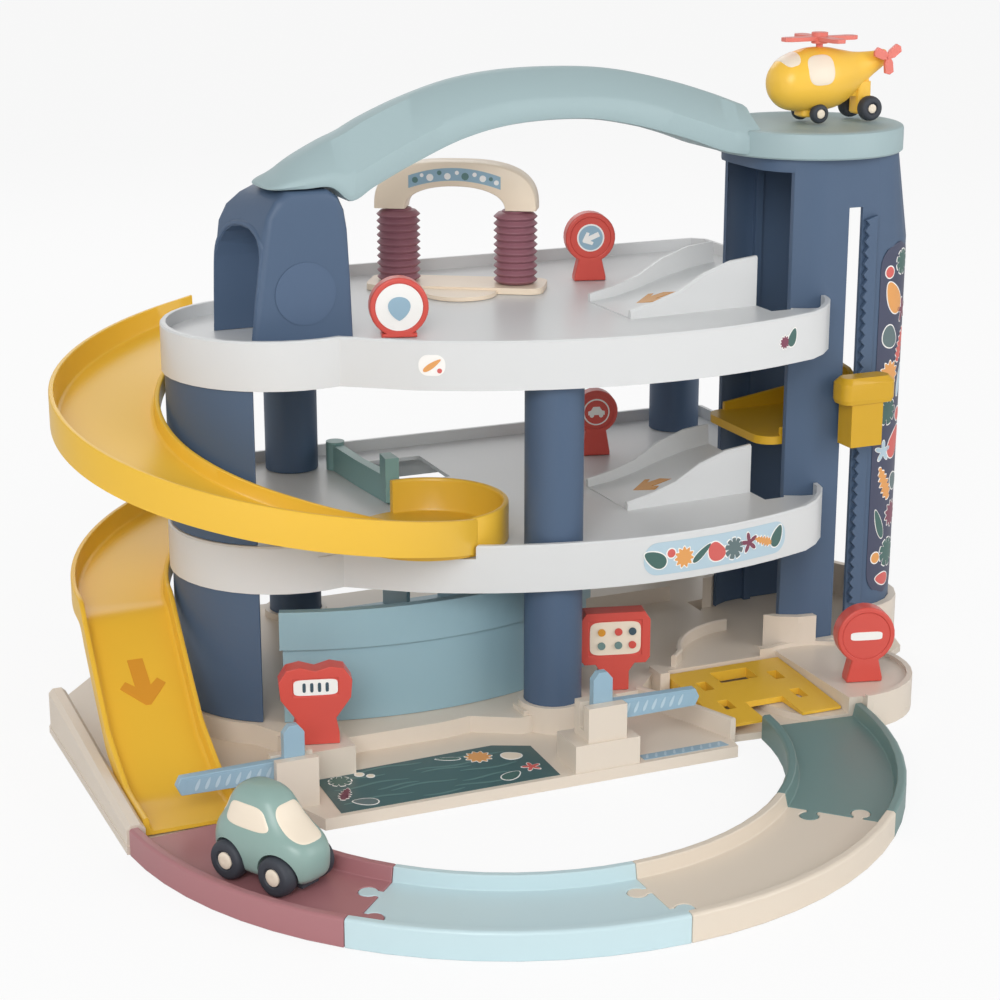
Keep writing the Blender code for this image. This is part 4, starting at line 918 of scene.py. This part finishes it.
@dataclass
class SignFaces:
    """Discs, icons and panels on the red signs, the meter and the pump."""

    def plate(self, name: str, outline: np.ndarray, at: Sequence[float], out: float, depth: float,
              finish: Finish) -> None:
        """Add a flat plate on a sign.

        Args:
            name: Name of the piece.
            outline: Outline in mm in the sign's plane.
            at: Centre of the sign's axis in mm.
            out: Distance in front of the axis.
            depth: Thickness.
            finish: Finish of the plate.
        """
        origin = np.asarray(at, float) + np.asarray(FRONT) * out
        mesh = plate_mesh(name, outline, origin, FACE, UP, depth)
        smooth(mesh, 30)
        link(name, mesh, finish, "garage")

    def build(self) -> None:
        """Build the faces of all signs."""
        for name, at, radius, out in SIGNS:
            face = Finish.WHITE_MARK if name == "pin" else Finish.SIGN
            self.plate("face_" + name, disc(radius - 4.0), at, out - 0.9, 0.5, face)
            self.icon(name, at, out)
        self.panel("meter", METER, (14.4, 5.4), Finish.WHITE_MARK)
        self.panel("pump", PUMP, (18.2, 12.2), Finish.CREAM)
        dots = ((-10, 5, Finish.YELLOW_MARK), (-10, -5, Finish.GREEN), (2, 5, Finish.SIGN),
                (2, -5, Finish.GREEN), (12, 5, Finish.DARK_MARK), (12, -5, Finish.SIGN))
        for i, (x, z, finish) in enumerate(dots):
            self.plate("pump_key_" + str(i), disc(2.7, 28) + (x, z), PUMP, 7.3, 0.9, finish)
        for i in range(4):
            bar = squircle(1.1, 3.2, 4, 20) + (-7.5 + 5 * i, 0)
            self.plate("meter_bar_" + str(i), bar, METER, 6.5, 0.4, Finish.DARK_MARK)

    def icon(self, name: str, at: Sequence[float], out: float) -> None:
        """Icon of one round sign: an arrow or a car on a ringed disc, a bar, or a drop.

        Args:
            name: Name of the sign.
            at: Centre of the sign's axis in mm.
            out: Distance of its face in front of the axis.
        """
        if name in ("arrow", "parking"):
            radius, finish = (9.2, Finish.BARRIER) if name == "arrow" else (9.3, Finish.SIGN)
            self.plate("ring_" + name, disc(10.4), at, out - 0.4, 0.3, Finish.WHITE_MARK)
            self.plate("disc_" + name, disc(radius), at, out - 0.1, 0.3, finish)
        if name == "arrow":
            c, s = math.cos(0.42), math.sin(0.42)
            turned = (ARROW[:, ::-1] * (-0.4, 0.4)) @ np.array([(c, s), (-s, c)])
            self.plate("icon_arrow", turned, at, out + 0.2, 0.3, Finish.WHITE_MARK)
        elif name == "parking":
            body = np.array([(-9, -3), (9, -3), (9, 1), (6, 2), (3.4, 6), (-3.6, 6), (-6, 2), (-9, 1)], float)
            self.plate("icon_parking", body * 0.72, at, out + 0.1, 0.3, Finish.WHITE_MARK)
            for side, tag in ((-1, "a"), (1, "b")):
                self.plate("icon_parking_wheel_" + tag, disc(1.7, 24) + (3.6 * side, -2.5), at, out + 0.1, 0.4,
                           Finish.WHITE_MARK)
        elif name == "stop":
            self.plate("icon_stop", squircle(11.5, 3.0, 5, 40), at, out - 0.4, 0.5, Finish.WHITE_MARK)
        else:
            t = np.linspace(0, 2 * np.pi, 48, endpoint=False)
            drop = np.stack([9 * np.sin(t) * np.sin(t / 2) ** 0.6, 9 * np.cos(t) * 0.9 + 1.0], -1)
            self.plate("icon_pin", drop * (1.0, -1.0), at, out - 0.4, 0.4, Finish.BARRIER)

    def panel(self, name: str, at: Sequence[float], half: Sequence[float], finish: Finish) -> None:
        """Rounded panel on a board."""
        self.plate("panel_" + name, squircle(half[0], half[1], 6, 48), at, BOARD_FACE, 0.6, finish)


SPIRAL, SPIRAL_RADIUS, SPIRAL_TOP, SPIRAL_FALL = (-98.0, 166.0), 117, 258, 0.557
LIFT_TOWER, DECK_ARC, DECK_RADIUS = (330, 125), (130, 351), 336.0
WASH_CENTRE, WASH_TURN = (72.5, 255.5), -31.0
EAST, NORTH, SOUTH = (1, 0, 0), (0, 1, 0), (0, -1, 0)


@dataclass
class FloorMarks:
    """Arrows sunk in the ramps, coloured darker than the ramps as painted shade of their engraving; the printed
    mat and the printed bands.
    """

    def arrow(self, name: str, at: Sequence[float], ahead: Sequence[float], size: float,
              finish: Finish) -> None:
        """Arrow lying on a slope: its length runs along ahead and its width level; its darker finish is painted
        shade of the engraved arrow.

        Args:
            name: Name of the piece.
            at: Middle of the arrow on the surface in mm.
            ahead: Direction in which it points.
            size: Scale of the arrow.
            finish: Its finish, darker than the ramp as painted shade of the engraving.
        """
        way = np.asarray(ahead, float) / np.linalg.norm(ahead)
        side = np.cross(way, UP)
        side /= np.linalg.norm(side)
        normal = np.cross(side, way)
        origin = np.asarray(at, float) - normal * 1.2
        mesh = plate_mesh(name, ARROW * size, origin, side, way, 1.5)
        link(name, mesh, finish, "garage")

    def band(self, name: str, centre: Sequence[float], radius: float, angles: Sequence[float],
             heights: Sequence[float], finish: Finish) -> None:
        """Sticker wrapped on an upright cylinder: (r cos a, r sin a, z) on a rounded rectangle of a and z.

        Args:
            name: Name of the piece.
            centre: Plan centre in mm.
            radius: Radius in mm.
            angles: First and last angle in degrees.
            heights: Lowest and highest z.
            finish: Its print.
        """
        width = math.radians(angles[1] - angles[0]) * radius / 2
        height = (heights[1] - heights[0]) / 2
        corner = min(width, height) * 0.9
        rows = np.linspace(-1, 1, 61) * height
        inset = np.clip(np.abs(rows) - (height - corner), 0, None)
        reach = width - corner + np.sqrt(np.clip(corner ** 2 - inset ** 2, 0.04, None))
        u = np.linspace(-1, 1, 41)[None, :] * reach[:, None]
        mid = math.radians(sum(angles) / 2)
        loops = []
        for r in (radius + 0.05, radius + 0.32):
            a = mid + u / radius
            z = rows[:, None] + sum(heights) / 2 + 0 * u
            loops.append(np.stack([centre[0] + r * np.cos(a), centre[1] + r * np.sin(a), z], -1))
        ring = np.concatenate([loops[0][:, :1], loops[1], loops[0][:, ::-1][:, :-1]], 1)
        link(name, grid_mesh(name, ring), finish, "garage")

    def build(self) -> None:
        """Add all marks and prints."""
        # The exit arrows are mustard, darker than the piece they lie in: painted shade of their engraving.
        for level in (0, 1):
            z = 137 + 139 * level
            self.arrow("arrow_exit_" + str(level + 1), (178, 138, z + 6.6), (-1.0, 0.12, -0.25), 0.95,
                       Finish.MUSTARD_MARK)
        # The spiral and lower arrows are amber, darker than the yellow ramps: painted shade of their engraving.
        a = math.radians(247)
        at = (SPIRAL[0] + SPIRAL_RADIUS * math.cos(a), SPIRAL[1] + SPIRAL_RADIUS * math.sin(a),
              SPIRAL_TOP - SPIRAL_FALL * 147 + 0.1)
        self.arrow("arrow_spiral", at, (-math.sin(a), math.cos(a), -0.2728), 1.0, Finish.YELLOW_MARK)
        self.arrow("arrow_lower", (-214, 118, 9 + 78 * (93 / 141) ** 1.25 + 0.2), (0, -1, -0.623), 1.15,
                   Finish.YELLOW_MARK)
        self.brow()
        self.mat()
        self.tower()
        self.decks()
        disc_mesh = plate_mesh("cap_disc", disc(21.0), (-91, 122.4, 309), EAST, UP, 2.0)
        link("cap_disc", disc_mesh, Finish.CAP_DISC, "garage")
        self.barriers()
        self.wash()

    def brow(self) -> None:
        """Raised lip round the left tower's gate: a half-round band on the cap's slanting left face."""
        side = np.array([(124.5, 2), (124.5, 30), (124.5, 58), (127, 66), (132, 71), (141, 74.5), (152, 75.5),
                         (163, 74), (172, 69), (178, 61), (181, 50), (181, 26), (181, 2)], float)
        path = spline(side, 96)
        way = np.gradient(path, axis=0)
        way /= np.linalg.norm(way, axis=1)[:, None]
        normal = np.stack([-way[:, 1], way[:, 0]], -1)
        fade = np.clip(path[:, 1] / 46, 0.12, 1)
        front = np.array([(0, 128.0), (29, 124.5), (50, 121.5), (72, 118.5), (85, 115), (94.5, 109.5)])
        back = np.array([(0, 137.5), (29, 136), (54, 134.5), (76, 131.5), (86, 126), (93.5, 116)])
        loops = []
        section = ((0.4, -1.5), (0.4, 0.5), (1.0, 1.0), (1.8, 1.15), (2.8, 0.9), (3.6, -0.2), (3.6, -1.5))
        for across, out in section:
            y, z = (path + normal * across).T
            y = np.clip(y, 122.4, 183.4)
            t = (y - 121) / 64
            edge = np.interp(y, (121, 122.2, 125, 181, 183.8, 185), (3.4, 1.2, 0, 0, 1.2, 3.4))
            x = edge - (np.interp(z, *front.T) * (1 - t) + np.interp(z, *back.T) * t)
            loops.append(np.stack([x - np.where(out > 0, out * fade, out), y, 276.3 + z], -1))
        mesh = grid_mesh("gate_brow", np.stack(loops, 1))
        link("gate_brow", mesh, Finish.TOWER, "garage")

    def mat(self) -> None:
        """Parking mat with pale ripples and a few plants, and the striped strip beside it."""
        plan = np.array([(-126, 24), (2, 28), (26, 17), (24, -35), (-128, -35)], float)
        mesh = plate_mesh("mat_print", plan[::-1] * (1, -1), (0, 0, 8.02), EAST, SOUTH, -0.3)
        link("mat_print", mesh, Finish.MAT, "garage")
        t = np.linspace(-1, 1, 40)
        parts = []
        for k in range(13):
            half = 15 + 11 * ((k * 7) % 5) / 4
            x = np.clip(-56 + 44 * math.sin(2.4 * k) + half * t, -122, 12)
            y = -30.5 + 4.3 * k + 1.6 * np.sin(x / 7.5 + k)
            wide = 0.9 * np.sqrt(1 - t ** 2) + 0.05
            ripple = np.vstack([np.stack([x, y - wide], -1), np.stack([x, y + wide], -1)[::-1]])
            parts.append(plate_mesh("ripple", ripple, (0, 0, 8.2), EAST, NORTH, 0.22))
        ripples = merged("mat_ripples", parts)
        link("mat_ripples", ripples, Finish.MAT_LIGHT, "garage")
        Sticker("mat_motif", on_flat((0, 0, 8.32), EAST, NORTH)).build((
            ("notched", -113, 12, 8, 40, Finish.LEAF), ("fern", -116, -9, 9, -30, Finish.PLUM),
            ("leaf", -108, -25, 8, 65, Finish.SLATE), ("dot", -97, 17, 2.6, 0, Finish.CREAM),
            ("dot", -91, 12, 2.1, 0, Finish.CREAM), ("sun", -14, 13, 9, 0, Finish.ORANGE),
            ("pebble", 7, 6, 7, 30, Finish.CREAM), ("blade", -34, 18, 8, 70, Finish.LEAF),
            ("star", 12, -16, 6.5, 0, Finish.CORAL), ("leaf", -6, -24, 8, -60, Finish.LEAF),
        ), 0.12)
        strip = np.array([(86, -35), (150, -35), (148, -27), (86, -27)], float)
        strip_mesh = plate_mesh("bay_print", strip, (0, 0, 8.02), EAST, NORTH, 0.3)
        link("bay_print", strip_mesh, Finish.BARRIER, "garage")
        Sticker("bay_motif", on_flat((117, -31, 8.32), EAST, NORTH), border=0.0).build(
            [("blade", -27 + 6.8 * i, 0, 3.4, -28, Finish.SKY) for i in range(9)], 0.02)

    def tower(self) -> None:
        """Dark strip with plants and dots beside the lift slot."""
        self.band("tower_print", LIFT_TOWER, 40.0, (-88, -32), (52, 318), Finish.NIGHT)
        Sticker("tower_motif", on_round(LIFT_TOWER, 40.32, -60, 185)).build((
            ("notched", 5, 119, 10, 20, Finish.LEAF), ("dot", -11, 112, 4, 0, Finish.CORAL),
            ("leaf", -5, 93, 13, 30, Finish.ORANGE), ("star", 9, 82, 9, 10, Finish.PLUM),
            ("pebble", -8, 64, 9, 0, Finish.SLATE), ("fern", 8, 56, 13, -20, Finish.CORAL),
            ("sun", -6, 36, 10, 0, Finish.ORANGE), ("blade", 10, 29, 12, -15, Finish.SKY),
            ("notched", -6, 9, 11, -30, Finish.LEAF), ("dot", 11, 3, 5, 0, Finish.CORAL),
            ("leaf", 6, -17, 13, -35, Finish.CORAL), ("star", -9, -22, 8, 0, Finish.SKY),
            ("fern", -6, -47, 14, 25, Finish.ORANGE), ("pebble", 9, -48, 8, 40, Finish.SLATE),
            ("sun", 7, -73, 10, 10, Finish.PLUM), ("blade", -10, -78, 12, 20, Finish.LEAF),
            ("notched", 3, -101, 12, 15, Finish.LEAF), ("dot", -12, -104, 4, 0, Finish.ORANGE),
            ("leaf", -3, -122, 8, 80, Finish.CORAL),
        ))

    def decks(self) -> None:
        """Band of plants on the lower deck and two small stickers on the upper one."""
        self.band("deck_print", DECK_ARC, DECK_RADIUS, (-93.6, -73.4), (118, 141), Finish.SKY)
        Sticker("deck_motif", on_round(DECK_ARC, DECK_RADIUS + 0.32, -83.5, 129.5)).build((
            ("leaf", -51, 0, 9, 60, Finish.LEAF), ("dot", -39, 3, 3.0, 0, Finish.CORAL),
            ("sun", -29, -1, 7.5, 0, Finish.ORANGE), ("blade", -15, 0, 9, -50, Finish.LEAF),
            ("pebble", -3, -1, 8, 20, Finish.CORAL), ("notched", 12, 0, 8.5, -15, Finish.SLATE),
            ("star", 25, 1, 7.5, 12, Finish.PLUM), ("fern", 38, 0, 8.5, 70, Finish.ORANGE),
            ("leaf", 51, 1, 8.0, -25, Finish.LEAF),
        ))
        self.band("deck_patch", DECK_ARC, DECK_RADIUS, (-119.6, -116.6), (262, 276), Finish.WHITE_MARK)
        Sticker("deck_fern", on_round(DECK_ARC, DECK_RADIUS + 0.32, -118.1, 269), border=0.0).build(
            [("blade", 0, 0, 7.0, -55, Finish.ORANGE), ("dot", 5, -3.5, 1.6, 0, Finish.CORAL)])
        Sticker("deck_star", on_round(DECK_ARC, DECK_RADIUS + 0.05, -74.0, 269)).build(
            [("sun", -3.5, -1, 4.6, 0, Finish.PLUM), ("leaf", 4.0, 1.5, 6.4, -20, Finish.LEAF)])

    def barriers(self) -> None:
        """Slanted strokes on the barrier arms."""
        for body, x0, x1, y, z in (
            ("barrier_left_arm", -221, -160, -11.0, 33), ("barrier_right_arm", 68, 124, -28.0, 44),
        ):
            middle = (x0 + x1) / 2
            outline = squircle((x1 - x0) / 2, 4.6, 8, 48) + (middle, z)
            mesh = plate_mesh("print_" + body, outline, (0, y + 0.1, 0), EAST, UP, 0.35)
            link("print_" + body, mesh, Finish.BARRIER, body)
            strokes = Sticker("strokes_" + body, on_flat((middle, y - 0.25, z), EAST, UP), body, 0.0)
            count = int((x1 - x0 - 6) / 6.6)
            places = [6.6 * (i - (count - 1) / 2) for i in range(count)]
            strokes.build([("blade", a, 0, 4.1, -24, Finish.SKY) for a in places], 0.02)

    def wash(self) -> None:
        """Blue band with bubbles on the wash arch: an arch-shaped strip on its front."""
        (cx, cy), turn = WASH_CENTRE, math.radians(WASH_TURN)
        c, s = math.cos(turn), math.sin(turn)
        t = np.linspace(-1, 1, 41)
        x = 34 * t
        mid = 362 - 6.0 * t ** 2
        top = np.stack([x, mid + 4.6], -1)
        low = np.stack([x, mid - 4.6], -1)[::-1]
        origin = (cx + 10.9 * s, cy - 10.9 * c, 0.0)
        mesh = plate_mesh("wash_print", np.vstack([low[::-1], top[::-1]]), origin, (c, s, 0), UP, 0.4)
        link("wash_print", mesh, Finish.BARRIER, "garage")
        places = ((-29, 357.5, 2.2), (-24, 361, 1.4), (-18, 359.5, 2.6), (-11, 363, 1.7), (-5, 360.5, 2.4),
                  (2, 363.2, 1.5), (8, 360.6, 2.7), (15, 362, 1.6), (21, 359.2, 2.4), (27, 359, 1.5),
                  (31, 356.4, 1.8))
        dots = [("dot", a, b, size, 0, Finish.WHITE_MARK if i % 3 else Finish.MAT_LIGHT)
                for i, (a, b, size) in enumerate(places)]
        front = on_flat((origin[0] + 0.4 * s, origin[1] - 0.4 * c, 0), (c, s, 0), UP)
        Sticker("wash_bubbles", front, border=0.0).build(dots, 0.02)


@dataclass
class Ramps:
    """Both yellow ramps as smooth open channels, and the round pocket that turns the upper one back."""

    pocket: tuple[float, float] = (-14.0, 102.0)

    @staticmethod
    def channel(name: str, rows: np.ndarray) -> bpy.types.Mesh:
        """Sweep the channel's section: two walls with round rims, rounded into a flat floor.

        Args:
            name: Name of the mesh.
            rows: Of each station x, y, outward x, y, floor height, half width, inner and outer wall height.

        Returns:
            The mesh.
        """
        x, y, ox, oy, floor, half, inner, outer = rows.T
        rim = ((0.0, -1.5), (0.15, -0.7), (0.7, -0.15), (1.5, 0.0), (2.4, 0.0), (3.1, -0.2), (3.5, -0.8))
        section = [(-half, floor - 2.5)]
        section += [(-half + a, floor + inner + b) for a, b in rim]
        section += [(-half + a, floor + b) for a, b in ((3.9, 2.6), (4.5, 1.0), (5.6, 0.25), (7.4, 0.0))]
        section += [(half - a, floor + b) for a, b in ((7.4, 0.0), (5.6, 0.25), (4.5, 1.0), (3.9, 2.6))]
        section += [(half - a, floor + outer + b) for a, b in rim[::-1]]
        section += [(half, floor - 2.5)]
        loops = np.stack([np.stack([x + ox * s, y + oy * s, z], -1) for s, z in section], 1)
        return grid_mesh(name, loops)

    @staticmethod
    def piece(mesh: bpy.types.Mesh) -> bpy.types.Object:
        """Put a yellow piece of the ramps in the scene under its mesh's name."""
        return link(mesh.name, mesh, Finish.RAMP, "garage")

    def upper(self) -> None:
        """Spiral: floor height falls evenly with the angle, its walls grow at the start."""
        deg = np.linspace(96, 312, 150)
        a = np.radians(deg)
        out = np.stack([np.cos(a), np.sin(a)], -1)
        at = np.asarray(SPIRAL) + SPIRAL_RADIUS * out
        outer = 14 + 8 * np.clip((deg - 100) / 80, 0, 1)
        inner = 10 + 2 * np.clip((deg - 200) / 60, 0, 1)
        height = SPIRAL_TOP - SPIRAL_FALL * (deg - 100)
        rows = np.column_stack([at, out, height, np.full(150, 37.0), inner, outer])
        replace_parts(self.piece(self.channel("look_ramp_upper", rows)), "ramp_upper")
        self.piece(prism("look_pocket_floor", disc(56.0, 96) + self.pocket, 137.5, 140.2))
        profile = np.array([(56, 137.5), (56, 162.4), (55.8, 163.3), (55, 163.9), (53.8, 164), (52.8, 163.7),
                            (52.2, 162.8), (52, 161.8), (52, 142), (51.2, 140.6), (49.6, 140.1), (49.6, 137.5)])
        turn = np.radians(np.linspace(-82, 96, 90))
        wall = self.piece(lathe("look_pocket_wall", self.pocket, profile, turn, False))
        b = np.radians(np.linspace(270, 313, 40))
        near, far = (np.column_stack([SPIRAL[0] + r * np.cos(b), SPIRAL[1] + r * np.sin(b)])
                     for r in (84.0, 150.0))
        carve(wall, [prism("way", np.vstack([near, far[::-1]]), 141.5, 190.0)])

    def lower(self) -> None:
        """Lower ramp: a quarter turn, then a straight run whose height follows a power of the distance."""
        rows = []
        for i in range(11):
            deg = 100 + 8 * i
            a = math.radians(deg)
            half = 36.5 - 0.35 * i
            mid = 79 + half
            rows.append((SPIRAL[0] + mid * math.cos(a), SPIRAL[1] + mid * math.sin(a), math.cos(a), math.sin(a),
                         118 - (deg - 115) * 0.477, half, 12, 14))
        for i in range(1, 13):
            y = 166 - 181 * i / 12
            slope = max(0.0, (y - 25) / 141) ** 1.25
            rows.append((-210 - 7 * min(1.0, i / 6), y, -1, 0, 9 + 78 * slope, 33, 12 - i * 0.3, 14 - i * 0.4))
        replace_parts(self.piece(self.channel("look_ramp_lower", spline(rows, 150))), "ramp_lower")

    def build(self) -> None:
        """Build both ramps."""
        self.upper()
        self.lower()
        LOG.info("ramps built")


@dataclass
class WashArch:
    """Arch over the two wash rollers with smooth curves and rounded edges."""

    foot: float = 336.0

    def bow(self, half: float, rise: float, power: float, count: int) -> np.ndarray:
        """Half a superellipse over the foot: height is rise times (1 - |x|^power) to the power 1/power.

        Args:
            half: Half width in mm.
            rise: Height over the foot in mm.
            power: Squareness.
            count: Number of points.

        Returns:
            Points x, z from left to right.
        """
        x = -np.cos(np.linspace(0, np.pi, count))
        return np.stack([half * x, self.foot + rise * (1 - np.abs(x) ** power) ** (1 / power)], -1)

    def build(self) -> None:
        """Sweep the two curves through the depth, drawn in at both edges, and bore the pin holes."""
        (cx, cy), turn = WASH_CENTRE, math.radians(WASH_TURN)
        c, s = math.cos(turn), math.sin(turn)
        loops = []
        for y, inset in ((-11, 1.5), (-10.6, 0.55), (-9.6, 0.0), (9.6, 0.0), (10.6, 0.55), (11, 1.5)):
            outer = self.bow(60 - inset, 35 - inset, 2.8, 81)
            inner = self.bow(37 + inset, 17 + inset, 2.2, 61)[::-1]
            x, z = np.vstack([outer, inner]).T
            loops.append(np.stack([cx + x * c - y * s, cy + x * s + y * c, z], -1))
        mesh = grid_mesh("look_wash_arch", np.stack(loops))
        with editing(mesh) as bm:
            ends = [face for face in bm.faces if len(face.verts) > 4]
            bmesh.ops.triangulate(bm, faces=ends, ngon_method="EAR_CLIP")
        body = link("look_wash_arch", mesh, Finish.WASH, "garage")
        holes = []
        for side in (-1, 1):
            plan = disc(3.3, 32) + (cx + side * 43.7 * c, cy + side * 43.7 * s)
            holes.append(prism("pin_hole", plan, 330, 340.4))
        carve(body, holes)
        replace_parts(body, "wash_arch")
        LOG.info("wash arch built")


PAD = (301, 143)


@dataclass
class Handle:
    """Carrying handle and landing pad as one flowing arch."""

    keys: tuple[tuple[float, ...], ...] = (
        (-111.6, 376.75, 377.6, 378.6, 141, 165), (-110.2, 376.7, 378.2, 380.6, 133.5, 170.5),
        (-107, 376.7, 379.2, 383.6, 128.3, 173.8), (-101, 376.7, 380.9, 387.6, 125, 176),
        (-88, 376.7, 383.7, 396, 123.3, 176.7), (-70, 376.7, 386.6, 405, 123.2, 176.8),
        (-56, 367, 386, 411, 123, 176), (-39, 376, 394, 420, 123, 175), (-10, 390, 408, 432, 123, 173),
        (25, 404, 421, 442, 123, 172), (64, 412, 428, 446.8, 123, 172), (112, 413, 428, 446.8, 123, 172),
        (150, 407, 424, 443, 123, 173), (190, 396, 413, 434, 122, 175), (222, 385, 402, 424, 119, 178),
        (243, 382, 396, 416, 114, 182), (262, 381.4, 391, 410, 108, 187), (285, 381.4, 389, 404, 100, 190),
    )

    def build(self) -> None:
        """Sweep the eight-sided section, soften its edges, cut the finger recess and add the pad."""
        s = spline(self.keys, 110)
        x, low, crease, top, y0, y1 = s.T
        x = np.clip(x, -111.8, 284.5)
        low = np.maximum(low, np.where(x > 246, 381.35, np.where(x < -69, 376.65, 0)))
        lip = np.minimum(4.0, (crease - low) * 0.5)
        wide = np.clip((y1 - y0) / 50, 0, 1)
        side = np.clip((crease - low) / 6, 0, 1)
        brim = np.clip((top - crease) / 8, 0, 1)
        ring = [
            (y0 + 5 * wide, low), (y0 + 1.2 * wide, low + 0.9 * side), (y0, low + lip),
            (y0 + 0.4 * wide, crease - 1.4 * side), (y0 + 2.2 * wide, crease + 1.2 * brim),
            (y0 + 18 * wide, top - 1.6 * brim), (y0 + 23 * wide, top), (y1 - 21 * wide, top),
            (y1 - 16 * wide, top - 1.6 * brim), (y1 - 2.2 * wide, crease + 1.2 * brim),
            (y1 - 0.4 * wide, crease - 1.4 * side), (y1, low + lip), (y1 - 1.2 * wide, low + 0.9 * side),
            (y1 - 5 * wide, low),
        ]
        points = np.stack([np.stack([x, y, z], -1) for y, z in ring], 1)
        mesh = grid_mesh("look_handle_arch", points)
        body = link("look_handle_arch", mesh, Finish.HANDLE, "garage")
        a = spline(((27, 404), (64, 411.5), (112, 412.5), (150, 407)), 24)
        groove = []
        for dy, dz in ((-15, -8), (-15, 10), (-10, 16), (10, 16), (15, 10), (15, -8)):
            groove.append(np.stack([a[:, 0], np.full(24, 147.5 + dy), a[:, 1] + dz], -1))
        above_pad = prism("round_pad", disc(58.3, 96) + PAD, 399.62, 440)
        carve(body, [grid_mesh("groove", np.stack(groove, 1)), above_pad])
        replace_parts(body, "handle_arch")
        turn = np.linspace(0, 2 * np.pi, 120, endpoint=False)
        profile = np.array([(0.05, 381.4), (67.5, 381.4), (68.8, 382.6), (68.8, 397.6), (68.2, 399.1),
                            (66.6, 399.9), (59.5, 399.95), (58.9, 399.8), (58.2, 399.6), (0.05, 399.6)])
        pad = lathe("landing_pad", PAD, profile, turn, True)
        link("landing_pad", pad, Finish.HANDLE, "garage")
        LOG.info("handle built")


def main() -> None:
    """Build every class in order and report each piece."""
    logging.basicConfig(level=logging.INFO)
    Studio().build()
    ToyCar().build()
    ToyHelicopter().build()
    Handle().build()
    Ramps().build()
    WashArch().build()
    done = {"car_body", "car_window", "heli_body", "heli_window", "handle_arch", "ramp_upper", "ramp_lower",
            "wash_arch"}
    done |= {kind + "_wheel_" + end + "_" + side for kind in ("car", "heli") for end in ("front", "rear")
             for side in ("left", "right")}
    for node, slot in SLOT_OF.items():
        if node not in done:
            Moulding(node, FINISH_OF[slot], EDGES.get(node, FINE_EDGE), node in CURVED).build()
            LOG.info("moulding %s", node)
    SignFaces().build()
    FloorMarks().build()


if __name__ == "__main__":
    main()
